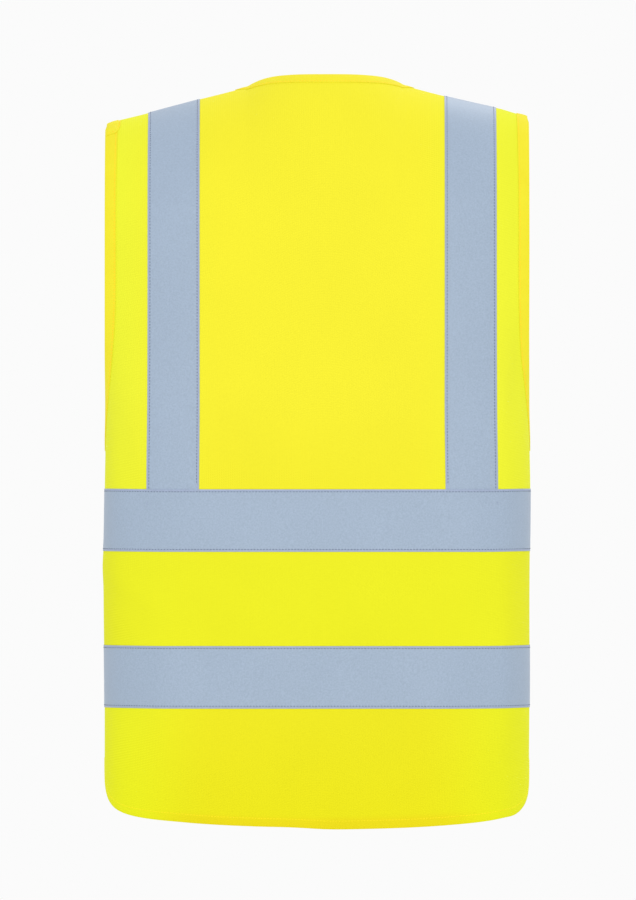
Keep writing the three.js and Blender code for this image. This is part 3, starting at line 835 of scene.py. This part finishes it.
def tape_finish(name, width):
    """Glass-bead reflective tape: a dull bluish silver with a fine grain, smoother and more lilac
    along the edges outside the stitches, where the beads are rubbed."""
    material, tree = new_finish(name)
    place = add_node(tree, "ShaderNodeTexCoord")
    axes = add_node(tree, "ShaderNodeSeparateXYZ", links={0: place.outputs["UV"]})
    off_middle = add_node(
        tree, "ShaderNodeMath", {"operation": "SUBTRACT", 1: width / 2 * MM}, {0: axes.outputs["Y"]}
    )
    off_centre = add_node(
        tree, "ShaderNodeMath", {"operation": "ABSOLUTE"}, {0: off_middle.outputs["Value"]}
    )
    edge = add_node(
        tree, "ShaderNodeMapRange",
        {"From Min": (width / 2 - RUBBED_EDGE) * MM, "From Max": (width / 2 - RUBBED_CORE) * MM},
        {"Value": off_centre.outputs["Value"]},
    )
    grain = add_node(
        tree, "ShaderNodeTexNoise", {"Scale": 700.0, "Detail": 2.0}, {"Vector": place.outputs["Object"]}
    )
    cloudy = add_node(
        tree, "ShaderNodeTexNoise", {"Scale": 14.0, "Detail": 3.0}, {"Vector": place.outputs["Object"]}
    )
    silver = add_node(
        tree, "ShaderNodeMix",
        {"data_type": "RGBA", 6: colour("#98a8bc"), 7: colour("#96a3bc")},
        {"Factor": edge.outputs["Result"]},
    )
    beads = add_node(
        tree, "ShaderNodeMapRange", {"From Min": 0.3, "From Max": 0.7, "To Min": 0.93, "To Max": 1.07},
        {"Value": grain.outputs["Fac"]},
    )
    worn_patches = add_node(
        tree, "ShaderNodeMapRange", {"To Min": 0.97, "To Max": 1.03}, {"Value": cloudy.outputs["Fac"]}
    )
    shade = add_node(
        tree, "ShaderNodeMath", {"operation": "MULTIPLY"},
        {0: beads.outputs["Result"], 1: worn_patches.outputs["Result"]},
    )
    beaded = add_node(
        tree, "ShaderNodeVectorMath", {"operation": "SCALE"},
        {0: silver.outputs[2], "Scale": shade.outputs["Value"]},
    )
    bump = add_node(
        tree, "ShaderNodeBump", {"Strength": 0.15, "Distance": 0.0002}, {"Height": grain.outputs["Fac"]}
    )
    shader = add_node(
        tree, "ShaderNodeBsdfPrincipled",
        {"Roughness": 0.5, "Specular IOR Level": 0.3},
        {"Base Color": beaded.outputs["Vector"], "Normal": bump.outputs["Normal"]},
    )
    add_node(tree, "ShaderNodeOutputMaterial", links={"Surface": shader.outputs["BSDF"]})
    return material


BAND_WIDTH = 60
RUBBED_EDGE = 2.6
RUBBED_CORE = 1.9
BRACE_WIDTH = BRACE_OUTER_EDGE - BRACE_INNER_EDGE
band_tape = tape_finish("glass_bead_band_tape", BAND_WIDTH)
brace_tape = tape_finish("glass_bead_brace_tape", BRACE_WIDTH)
front_sewn = {"left_front": [], "right_front": []}
for level in ("upper", "lower"):
    node = f"back_{level}_band"
    lay = lay_band(node, BACK, 1, level == "upper")
    band = sewn_piece(f"{node}_tape", BACK_BAND_COLUMNS, BAND_LINES, lay, band_tape)
    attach(band, "back")
    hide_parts(node)
    for front, hand in (("left_front", 1), ("right_front", -1)):
        lay = lay_band(node, FRONT, hand, level == "upper")
        node_name = f"{front}_{level}_band"
        band = sewn_piece(f"{node_name}_tape", FRONT_BAND_COLUMNS, BAND_LINES, lay, band_tape)
        swing(band, front)
        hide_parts(node_name)
        front_sewn[front].append(band)
for side_name, hand in (("left", 1), ("right", -1)):
    tape = sewn_piece(f"{side_name}_brace_tape", BRACE_LINES, BRACE_ROWS, lay_brace(hand), brace_tape)
    swing(tape, f"{side_name}_front")
    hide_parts(f"back_{side_name}_brace", f"{side_name}_front_brace")


# Binding. A strip of yellow woven polyester folded over the raw edge and sewn through both legs
# near its inner edges. One loop finishes each armhole, and a strip finishes the neck and fronts.
FOLD_CENTRE = -0.2
FOLD_INNER = 0.5
FOLD_OUTER = 1.0
BINDING_PUFF = 0.35
PUFF_SHAPE = 0.7
LEG_EDGE_RISE = 0.15
ROW_LENGTH = 4.0
STITCH_INSET = 10.0
LEG_STEPS = 7
FOLD_STEPS = 6


def binding_section():
    """Inset and offset of the strip's inner and outer face, from the outside leg round the fold."""
    middle_offset = (CLOTH_INNER + CLOTH_OUTER) / 2
    inset = np.linspace(BINDING_WIDTH, FOLD_CENTRE, LEG_STEPS + 1)
    puff = BINDING_PUFF * np.sin(np.pi * np.clip(inset / STITCH_INSET, 0, 1)) ** PUFF_SHAPE
    puff = puff + LEG_EDGE_RISE * (inset > STITCH_INSET + 1)
    bend = np.linspace(np.pi / 2, -np.pi / 2, FOLD_STEPS + 1)[1:-1]
    faces = []
    for radius, outside in ((FOLD_INNER, 0), (FOLD_OUTER, 1)):
        leg = np.stack([inset, middle_offset + radius + puff * outside], axis=-1)
        fold = np.stack(
            [FOLD_CENTRE - radius * np.cos(bend), middle_offset + radius * np.sin(bend)], axis=-1
        )
        under = np.stack([inset[::-1], np.full(len(inset), middle_offset - radius)], axis=-1)
        faces.append(np.concatenate([leg, fold, under]))
    return np.array(faces)


section = binding_section()
SECTION_STEPS = section.shape[1] - 1


def walk(side, angle, drape, heading, distance):
    """The spots a distance away over the surface, setting off along a heading."""
    for _ in range(4):
        across, down = slopes(side, angle, drape)
        normal = np.cross(across, down)
        normal = normal / np.linalg.norm(normal, axis=-1, keepdims=True)
        level = heading - normal * np.sum(heading * normal, axis=-1, keepdims=True)
        level = level / np.linalg.norm(level, axis=-1, keepdims=True)
        aa, dd, ad = (np.sum(p * q, axis=-1) for p, q in ((across, across), (down, down), (across, down)))
        ha, hd = np.sum(level * across, axis=-1), np.sum(level * down, axis=-1)
        scale = distance / 4 / (aa * dd - ad * ad)
        angle = angle + (ha * dd - hd * ad) * scale
        drape = drape + (hd * aa - ha * ad) * scale
    return angle, drape


def inward(side, angle, drape, hint):
    """Directions over the cloth, square to an edge and towards the panel."""
    points = body(side, angle, drape)
    along = np.gradient(points, axis=0)
    across = np.cross(outward(side, angle, drape), along)
    across = across / np.linalg.norm(across, axis=-1, keepdims=True)
    return across * np.sign(np.sum(across * hint, axis=-1, keepdims=True))


def bound_edge(edges):
    """Lays a binding over edges in turn; each is side, hand, angle, drape and a hint inwards."""
    places = []
    for side, hand, angle, drape, hint in edges:
        places.append((side, hand, angle, drape, inward(side, angle, drape, np.array(hint))))
    lengths = np.cumsum([0] + [len(place[2]) - 1 for place in places])

    def lay(column, row, outer):
        spot = section[outer.astype(int), column]
        points = np.zeros((len(row), 3))
        for index, (side, hand, angle, drape, heading) in enumerate(places):
            chosen = (row >= lengths[index]) & (row <= lengths[index + 1])
            local = row[chosen] - lengths[index]
            a, d = walk(side, angle[local], drape[local], heading[local], spot[chosen, 0])
            points[chosen] = cloth(side, hand, a, d, spot[chosen, 1])
        return points, np.stack([spot[:, 0], row * ROW_LENGTH], axis=-1)
    return lay, int(lengths[-1])


def binding_finish():
    """Plain woven polyester strip, a shade warmer and smoother than the knit, slightly ribbed."""
    material, tree = new_finish("yellow_woven_binding")
    place = add_node(tree, "ShaderNodeTexCoord")
    weave = add_node(
        tree, "ShaderNodeTexWave",
        {"bands_direction": "Y", "Scale": WAVE_PERIOD / (1.5 * MM), "Distortion": 0.5},
        {"Vector": place.outputs["UV"]},
    )
    mottle = add_node(
        tree, "ShaderNodeTexNoise", {"Scale": 60.0, "Detail": 3.0}, {"Vector": place.outputs["Object"]}
    )
    tone = add_node(
        tree, "ShaderNodeMix",
        {"data_type": "RGBA", 6: colour("#f8ee31"), 7: colour("#f4e629")},
        {"Factor": mottle.outputs["Fac"]},
    )
    duller = add_node(
        tree, "ShaderNodeVectorMath", {"operation": "SCALE", "Scale": 0.71}, {0: tone.outputs[2]}
    )
    bump = add_node(
        tree, "ShaderNodeBump", {"Strength": 0.3, "Distance": 0.0003}, {"Height": weave.outputs["Fac"]}
    )
    # Its glow is partly fluorescence, partly painted light that lifts the binding's shaded insides.
    shader = add_node(
        tree, "ShaderNodeBsdfPrincipled",
        {"Roughness": 0.8, "Specular IOR Level": 0.2, "Emission Strength": FLUORESCENT_AND_PAINTED_GLOW},
        {"Base Color": duller.outputs["Vector"], "Emission Color": duller.outputs["Vector"],
         "Normal": bump.outputs["Normal"]},
    )
    add_node(tree, "ShaderNodeOutputMaterial", links={"Surface": shader.outputs["BSDF"]})
    return material


woven_binding = binding_finish()
ARMHOLE_INWARD = (-1, 0, -0.4)
for side_name, hand in (("left", 1), ("right", -1)):
    lay, rows = bound_edge([
        (BACK, hand, armhole_angle[::-1], armhole_drape[::-1], ARMHOLE_INWARD),
        (FRONT, hand, armhole_angle, armhole_drape, ARMHOLE_INWARD),
    ])
    loop = sewn_piece(f"{side_name}_armhole_binding_loop", SECTION_STEPS, rows, lay, woven_binding)
    swing(loop, f"{side_name}_front")
    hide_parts(f"back_{side_name}_armhole_binding", f"{side_name}_front_armhole_binding")

LAP_START = 18
LAP_END = 58
LAP_WIDTH = 14.0
LAP_TAPER = 0.25
LAP_THICKNESS = 0.45
LAP_TUCK = 0.6
LAP_OVER_BINDING = 1.95
LAP_DROP_TO_CLOTH = 0.85
LAP_COLUMNS = 10
LAP_ROWS = 12
lap_drape = np.linspace(LAP_START, LAP_END, LAP_ROWS + 1)
lap_angle = np.interp(lap_drape, armhole_drape, armhole_angle)
lap_heading = inward(BACK, lap_angle, lap_drape, np.array(ARMHOLE_INWARD))


def lap_taper(share):
    """The lap narrows towards its low end."""
    return 1 - LAP_TAPER * share**4


def lay_lap(column, row, outer):
    """The free end of the left armhole's strip, lapped over its start behind the shoulder seam."""
    inset = LAP_WIDTH * column / LAP_COLUMNS * lap_taper(row / LAP_ROWS)
    angle, drape = walk(BACK, lap_angle[row], lap_drape[row], lap_heading[row], inset)
    base = LAP_OVER_BINDING - LAP_DROP_TO_CLOTH * eased((inset - BINDING_WIDTH + 0.6) / 1.4)
    round_off = np.sqrt(np.clip(inset / 1.5, 0.1, 1))
    offset = base + LAP_THICKNESS * outer * round_off - LAP_TUCK * (1 - round_off)
    return cloth(BACK, 1, angle, drape, offset), np.stack([inset, drape], axis=-1)


lap = sewn_piece("left_armhole_binding_lap", LAP_COLUMNS, LAP_ROWS, lay_lap, woven_binding)
swing(lap, "left_front")

neck_across = np.sin(np.linspace(-np.pi / 2, np.pi / 2, 61))
neck_x = neck_across * NECK_HALF_WIDTH
neck_drape = drape_at(np.maximum(crest(BACK, neck_x) - nape(neck_x), 0))
neck_drape[0] = neck_drape[-1] = 0
neck_angle = angle_at_width(neck_x, drop_at(neck_drape))
lay, rows = bound_edge([(BACK, 1, neck_angle, neck_drape, (0, 0.3, -1))])
neck_strip = sewn_piece("neck_binding_strip", SECTION_STEPS, rows, lay, woven_binding)
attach(neck_strip, "back")
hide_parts("back_neck_binding")

PAST_HEM = 790
front_fall = np.linspace(QUARTER_BEND, PAST_HEM, 140)[1:]
front_fall = np.append(np.linspace(0, QUARTER_BEND, 52), front_fall)


def front_edge_spots():
    """Angle and drape down the neckline and front edge, to the hem."""
    low = hem_drape(FRONT, lambda drop: angle_at_width(front_edge_x(np.asarray(drop)), drop))
    drape = np.append(front_fall[front_fall < low - 1], low)
    drop = drop_at(drape)
    return angle_at_width(front_edge_x(drop), drop), drape


front_angle, front_drape = front_edge_spots()
for front, hand in (("left_front", 1), ("right_front", -1)):
    lay, rows = bound_edge([(FRONT, hand, front_angle, front_drape, (1, 0, 0))])
    strip = sewn_piece(f"{front}_edge_binding_strip", SECTION_STEPS, rows, lay, woven_binding)
    swing(strip, front)
    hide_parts(f"{front}_edge_binding")
    front_sewn[front].append(strip)


# Hook and loop patches. Two hook strips inside the left front and two loop strips outside the
# right front close the vest. Yellow nylon tape with a fuzzy face, sewn on round its border.
PATCH_WIDTH = 15
PATCH_COLUMNS = 12
PATCH_ROWS = 60
PATCH_BORDER = 2.2
BORDER_PILE = 0.55
HOOK_OFFSETS = (CLOTH_INNER - 0.06, CLOTH_INNER - 1.2)
LOOP_OFFSETS = (CLOTH_OUTER + 0.05, CLOTH_OUTER + 1.15)


def lay_patch(node, hand, offsets):
    """A patch's grid: full pile in the middle, flattened by the stitches round its border."""
    low, high = (corner[2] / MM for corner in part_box(node))

    def lay(column, row, outer):
        x = (column / PATCH_COLUMNS - 0.5) * PATCH_WIDTH
        height = high - (high - low) * row / PATCH_ROWS
        angle, drape = spot_at_height(FRONT, lambda drop: angle_at_width(x, drop), height)
        to_end = (high - low) / 2 - np.abs(height - (low + high) / 2)
        border = np.minimum(PATCH_WIDTH / 2 - np.abs(x), to_end)
        pile = BORDER_PILE + (1 - BORDER_PILE) * eased(border / PATCH_BORDER)
        offset = offsets[0] + (offsets[1] - offsets[0]) * outer * pile
        return cloth(FRONT, hand, angle, drape, offset), np.stack([x, height], axis=-1)
    return lay


def fastener_finish(name, pile_colour, pitch, strength):
    """Hook or loop tape: nylon pile in rows, with painted shade between the tufts."""
    material, tree = new_finish(name)
    place = add_node(tree, "ShaderNodeTexCoord")
    tufts = add_node(
        tree, "ShaderNodeTexVoronoi", {"Scale": 1 / pitch, "Randomness": 0.6},
        {"Vector": place.outputs["Object"]},
    )
    # Painted shade: the pile gets less bright away from each tuft's middle.
    shade = add_node(
        tree, "ShaderNodeMapRange", {"From Max": 0.7, "To Min": 1.03, "To Max": 0.8},
        {"Value": tufts.outputs["Distance"]},
    )
    painted_shade_pile = add_node(
        tree, "ShaderNodeVectorMath", {"operation": "SCALE", 0: colour(pile_colour)[:3]},
        {"Scale": shade.outputs["Result"]},
    )
    bump = add_node(
        tree, "ShaderNodeBump", {"Strength": strength, "Distance": 0.0006, "invert": True},
        {"Height": tufts.outputs["Distance"]},
    )
    shader = add_node(
        tree, "ShaderNodeBsdfPrincipled", {"Roughness": 0.85, "Specular IOR Level": 0.3},
        {"Base Color": painted_shade_pile.outputs["Vector"], "Normal": bump.outputs["Normal"]},
    )
    add_node(tree, "ShaderNodeOutputMaterial", links={"Surface": shader.outputs["BSDF"]})
    return material


hook_nylon = fastener_finish("yellow_nylon_hook_tape", "#d9d637", 1.5 * MM, 0.9)
loop_nylon = fastener_finish("yellow_nylon_loop_tape", "#e2df3c", 1.1 * MM, 0.6)
for front, hand, kind, offsets, finish in (
    ("left_front", 1, "hook", HOOK_OFFSETS, hook_nylon),
    ("right_front", -1, "loop", LOOP_OFFSETS, loop_nylon),
):
    for level in ("upper", "lower"):
        node = f"{level}_{kind}_patch"
        lay = lay_patch(node, hand, offsets)
        patch = sewn_piece(f"{node}_tape", PATCH_COLUMNS, PATCH_ROWS, lay, finish)
        swing(patch, front)
        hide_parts(node)
        front_sewn[front].append(patch)


# Care label. A blank tag of white satin ribbon, sewn in at the top inside the left side seam, so
# that its lower end hangs free and curls a little away from the cloth.
LABEL_COLUMNS = 16
LABEL_ROWS = 26
LABEL_THICKNESS = 0.25
LABEL_GAP = 0.5
LABEL_CURL = 3.5
LABEL_BOW = 0.8
label_low, label_high = (np.array(corner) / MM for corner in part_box("care_label"))


def lay_label(column, row, outer):
    depth = label_low[1] + (label_high[1] - label_low[1]) * column / LABEL_COLUMNS
    height = label_high[2] + (label_low[2] - label_high[2]) * row / LABEL_ROWS
    share = row / LABEL_ROWS
    angle, drape = spot_at_height(BACK, lambda drop: angle_at_depth(depth, drop), height)
    curl = LABEL_CURL * share**2 + LABEL_BOW * np.sin(column / LABEL_COLUMNS * np.pi) * share
    offset = -LABEL_GAP - curl - LABEL_THICKNESS * (1 - outer)
    return cloth(BACK, 1, angle, drape, offset), np.stack([depth, height], axis=-1)


def satin_finish():
    """White polyester satin: smooth, with a faint weft line and a soft shine."""
    material, tree = new_finish("white_satin_ribbon")
    place = add_node(tree, "ShaderNodeTexCoord")
    weft = add_node(
        tree, "ShaderNodeTexWave", {"bands_direction": "Y", "Scale": WAVE_PERIOD / (0.8 * MM)},
        {"Vector": place.outputs["UV"]},
    )
    tone = add_node(
        tree, "ShaderNodeMix",
        {"data_type": "RGBA", 6: colour("#f4f3ee"), 7: colour("#eae9e4")},
        {"Factor": weft.outputs["Fac"]},
    )
    bump = add_node(
        tree, "ShaderNodeBump", {"Strength": 0.1, "Distance": 0.0001}, {"Height": weft.outputs["Fac"]}
    )
    shader = add_node(
        tree, "ShaderNodeBsdfPrincipled", {"Roughness": 0.4, "Specular IOR Level": 0.5},
        {"Base Color": tone.outputs[2], "Normal": bump.outputs["Normal"]},
    )
    add_node(tree, "ShaderNodeOutputMaterial", links={"Surface": shader.outputs["BSDF"]})
    return material


label = sewn_piece("care_label_ribbon", LABEL_COLUMNS, LABEL_ROWS, lay_label, satin_finish())
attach(label, "back")
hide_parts("care_label")


# Seam allowances. Inside the shoulder and side seams the two cut edges are pressed to one side
# and overlocked together into a soft ridge of thread and knit.
ALLOWANCE = 7.0
ALLOWANCE_HEIGHT = 0.9
ALLOWANCE_FROM_NECK = 5
ALLOWANCE_FROM_ARMHOLE = 4
ALLOWANCE_LINES = 6
ALLOWANCE_ROWS = 70
SIDE_SEAM_END = hem_drape(BACK, lambda drop: np.pi / 2 + 0 * np.asarray(drop)) - HEM_TURN


def allowance_offset(column, outer):
    rise = ALLOWANCE_HEIGHT * np.sin(np.pi * np.clip(column / ALLOWANCE_LINES, 0.08, 0.92))
    return CLOTH_INNER - 0.05 - rise * (1 - outer)


def lay_shoulder_allowance(hand):
    def lay(column, row, outer):
        length = HALF_WIDTH - NECK_HALF_WIDTH - 2 * ALLOWANCE_FROM_NECK
        x = NECK_HALF_WIDTH + ALLOWANCE_FROM_NECK + length * row / ALLOWANCE_ROWS
        drape = ALLOWANCE * column / ALLOWANCE_LINES
        angle = angle_at_width(x, drop_at(drape))
        points = cloth(BACK, 1, hand * angle, drape, allowance_offset(column, outer))
        return points, np.stack([x, drape], axis=-1)
    return lay


def lay_side_allowance(hand):
    def lay(column, row, outer):
        start = armhole_drape[-1] + ALLOWANCE_FROM_ARMHOLE
        drape = start + (SIDE_SEAM_END - start) * row / ALLOWANCE_ROWS
        angle = angle_at_depth(ALLOWANCE * column / ALLOWANCE_LINES, drop_at(drape))
        points = cloth(BACK, 1, hand * angle, drape, allowance_offset(column, outer))
        return points, np.stack([drape, ALLOWANCE * column / ALLOWANCE_LINES], axis=-1)
    return lay


for side_name, hand in (("left", 1), ("right", -1)):
    for place_name, lay in (("shoulder", lay_shoulder_allowance(hand)), ("side", lay_side_allowance(hand))):
        ridge = sewn_piece(
            f"{side_name}_{place_name}_seam_allowance", ALLOWANCE_LINES, ALLOWANCE_ROWS, lay, woven_binding
        )
        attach(ridge, "back")


# Stitches. Lockstitch in polyester thread: grey along both edges of the tape, and yellow along
# the bindings, the hem and the patches. Each stitch shows as a small bead lying along its seam.
STITCH_PITCH = 3.0
STITCH_LENGTH = 2.3
STITCH_WIDTH = 0.6
STITCH_HEIGHT = 0.42
STITCH_LIFT = 0.05
TAPE_STITCH_INSET = 2.3
PATCH_STITCH_INSET = 1.5
BINDING_STITCH_LIFT = CLOTH_OUTER + 0.6
LONG_LINE = 401
SHORT_LINE = 201
BATCH = 120


def stitch_places(points, normals):
    """A frame for each stitch along a line of points, spaced evenly by length."""
    steps = np.linalg.norm(np.diff(points, axis=0), axis=1)
    length = np.append(0, np.cumsum(steps))
    count = max(1, int(length[-1] // STITCH_PITCH))
    at = (np.arange(count) + 0.5) * length[-1] / count
    near = np.clip(np.searchsorted(length, at), 1, len(points) - 1)
    centre = np.stack([np.interp(at, length, points[:, axis]) for axis in range(3)], axis=-1)
    along = points[near] - points[near - 1]
    along = along / np.linalg.norm(along, axis=-1, keepdims=True)
    up = normals[near] - along * np.sum(normals[near] * along, axis=-1, keepdims=True)
    up = up / np.linalg.norm(up, axis=-1, keepdims=True)
    return [(c, a, np.cross(u, a), u) for c, a, u in zip(centre, along, up)]


def stitch_line(side, hand, angle, drape, offset):
    """Stitches along spots of the cloth, at an offset."""
    points = cloth(side, hand, angle, drape, offset)
    lifted = cloth(side, hand, angle, drape, offset + 1)
    return stitch_places(points, lifted - points)


def stitched(name, lines, thread):
    """One piece of all the stitches of some seams, a low ball of twenty faces for each."""
    places = [place for line in lines for place in line]
    whole = bmesh.new()
    for start in range(0, len(places), BATCH):
        bm = bmesh.new()
        for centre, along, aside, up in places[start:start + BATCH]:
            turn = Matrix(np.column_stack([
                along * STITCH_LENGTH / 2, aside * STITCH_WIDTH / 2, up * STITCH_HEIGHT / 2
            ]).tolist()).to_4x4()
            turn.translation = Vector(centre)
            bmesh.ops.create_icosphere(bm, subdivisions=1, radius=1, matrix=turn)
        part = bpy.data.meshes.new("batch")
        bm.to_mesh(part)
        bm.free()
        whole.from_mesh(part)
        bpy.data.meshes.remove(part)
    bmesh.ops.scale(whole, verts=whole.verts, vec=(MM, MM, MM))
    mesh = bpy.data.meshes.new(name)
    whole.to_mesh(mesh)
    whole.free()
    return finished(name, mesh, thread)


def thread_finish(name, thread_colour, glow):
    """Twisted polyester thread: matt, with a fine slanting twist."""
    material, tree = new_finish(name)
    place = add_node(tree, "ShaderNodeTexCoord")
    twist = add_node(
        tree, "ShaderNodeTexWave", {"bands_direction": "DIAGONAL", "Scale": WAVE_PERIOD / (0.6 * MM)},
        {"Vector": place.outputs["Object"]},
    )
    shade = add_node(
        tree, "ShaderNodeMapRange", {"To Min": 0.85, "To Max": 1.05}, {"Value": twist.outputs["Fac"]}
    )
    tone = add_node(
        tree, "ShaderNodeVectorMath", {"operation": "SCALE", 0: colour(thread_colour)[:3]},
        {"Scale": shade.outputs["Result"]},
    )
    # The emission at glow above zero is painted light, partly standing for fluorescence.
    shader = add_node(
        tree, "ShaderNodeBsdfPrincipled",
        {"Roughness": 0.7, "Specular IOR Level": 0.25, "Emission Strength": glow},
        {"Base Color": tone.outputs["Vector"], "Emission Color": tone.outputs["Vector"]},
    )
    add_node(tree, "ShaderNodeOutputMaterial", links={"Surface": shader.outputs["BSDF"]})
    return material


def band_stitches(side, hand):
    lines = []
    for level in ("upper", "lower"):
        low, high = band_height(f"back_{level}_band")
        for below in (TAPE_STITCH_INSET, high - low - TAPE_STITCH_INSET):
            share = np.linspace(-1, 1, LONG_LINE) if side == BACK else np.linspace(0, 1, SHORT_LINE)
            angle, drape, x = band_spots(side, share, high - below)
            lift = over_brace(x, below) if level == "upper" else 0
            lines.append(stitch_line(side, hand, angle, drape, TAPE_OUTER + STITCH_LIFT + lift))
    return lines


def brace_stitches(hand):
    lines = []
    drape = np.linspace(-brace_length + BRACE_UNDER_BAND, brace_length - BRACE_UNDER_BAND, LONG_LINE)
    for x in (BRACE_INNER_EDGE + TAPE_STITCH_INSET, BRACE_OUTER_EDGE - TAPE_STITCH_INSET):
        angle = angle_at_width(x, drop_at(drape))
        lines.append(stitch_line(BACK, 1, hand * angle, drape, TAPE_OUTER + STITCH_LIFT))
    return lines


def edge_stitches(side, hand, angle, drape, hint):
    heading = inward(side, angle, drape, np.array(hint))
    angle, drape = walk(side, angle, drape, heading, STITCH_INSET)
    return stitch_line(side, hand, angle, drape, BINDING_STITCH_LIFT)


def hem_stitches(side, hand, angle_from):
    share = np.linspace(0, 1, SHORT_LINE)

    def angle_of(drop):
        edge = angle_from(drop)
        return edge + share * (np.pi / 2 - edge)

    drape = hem_drape(side, angle_of) - HEM_TURN + 1
    return stitch_line(side, hand, angle_of(drop_at(drape)), drape, CLOTH_OUTER + HEM_FOLD_OUTER)


def patch_stitches(node, hand, outside):
    low, high = (corner[2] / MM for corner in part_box(node))
    reach = [PATCH_WIDTH / 2 - PATCH_STITCH_INSET, (high - low) / 2 - PATCH_STITCH_INSET]
    turn = np.array([(-1, -1), (1, -1), (1, 1), (-1, 1), (-1, -1)])
    lines = []
    for start, end in zip(turn[:-1], turn[1:]):
        way = np.linspace(0, 1, 30)[:, None]
        spot = (start + (end - start) * way) * reach
        height = spot[:, 1] + (low + high) / 2
        angle, drape = spot_at_height(FRONT, lambda drop: angle_at_width(spot[:, 0], drop), height)
        lines.append(stitch_line(FRONT, hand, angle, drape, outside))
    return lines


def lap_stitches():
    """Stitches down the lap's inner edge and back across its low end."""
    share = (lap_drape - LAP_START) / (LAP_END - LAP_START)
    down = walk(BACK, lap_angle, lap_drape, lap_heading, LAP_WIDTH * lap_taper(share) - 1)
    share = np.linspace(0.12, 0.68, 12)
    low = np.full(len(share), LAP_ROWS - 1)
    across = walk(BACK, lap_angle[low], lap_drape[low], lap_heading[low], LAP_WIDTH * share)
    return [
        stitch_line(BACK, 1, down[0], down[1], CLOTH_OUTER + 0.75),
        stitch_line(BACK, 1, across[0], across[1], CLOTH_OUTER + 1.45),
    ]


grey_thread = thread_finish("grey_polyester_thread", "#525d72", 0.0)
# The yellow threads glow: partly fluorescence, partly painted light that lifts the shade in their grooves.
yellow_thread = thread_finish("golden_yellow_polyester_thread", "#f3bd18", 0.3)
pale_thread = thread_finish("yellow_polyester_thread", "#ecd51c", 0.3)


def sew(name, lines, thread, rides):
    """One piece of stitches, which rides the back or is sewn to the back and a front."""
    piece = stitched(name, lines, thread)
    if rides == "back":
        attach(piece, "back")
    else:
        swing(piece, rides)
        front_sewn[rides].append(piece)


sew("back_band_stitches", band_stitches(BACK, 1), grey_thread, "back")
neck_lines = [edge_stitches(BACK, 1, neck_angle, neck_drape, (0, 0.3, -1))]
sew("neck_binding_stitches", neck_lines, yellow_thread, "back")
hem_lines = [hem_stitches(BACK, hand, lambda drop: 0 * drop) for hand in (1, -1)]
sew("back_hem_stitches", hem_lines, pale_thread, "back")
sew("left_armhole_lap_stitches", lap_stitches(), yellow_thread, "left_front")
for side_name, hand in (("left", 1), ("right", -1)):
    front = f"{side_name}_front"
    sew(f"{front}_band_stitches", band_stitches(FRONT, hand), grey_thread, front)
    sew(f"{side_name}_brace_stitches", brace_stitches(hand), grey_thread, front)
    around = [
        edge_stitches(side, hand, armhole_angle, armhole_drape, ARMHOLE_INWARD) for side in (BACK, FRONT)
    ]
    sew(f"{side_name}_armhole_stitches", around, yellow_thread, front)
    edge = [edge_stitches(FRONT, hand, front_angle, front_drape, (1, 0, 0))]
    sew(f"{front}_edge_stitches", edge, yellow_thread, front)
    hem = [hem_stitches(FRONT, hand, lambda drop: angle_at_width(front_edge_x(np.asarray(drop)), drop))]
    sew(f"{front}_hem_stitches", hem, pale_thread, front)
    kind = "hook" if hand > 0 else "loop"
    outside = CLOTH_OUTER + STITCH_LIFT if hand > 0 else LOOP_OFFSETS[1] - 0.15
    for level in ("upper", "lower"):
        node = f"{level}_{kind}_patch"
        sew(f"{node}_stitches", patch_stitches(node, hand, outside), pale_thread, front)
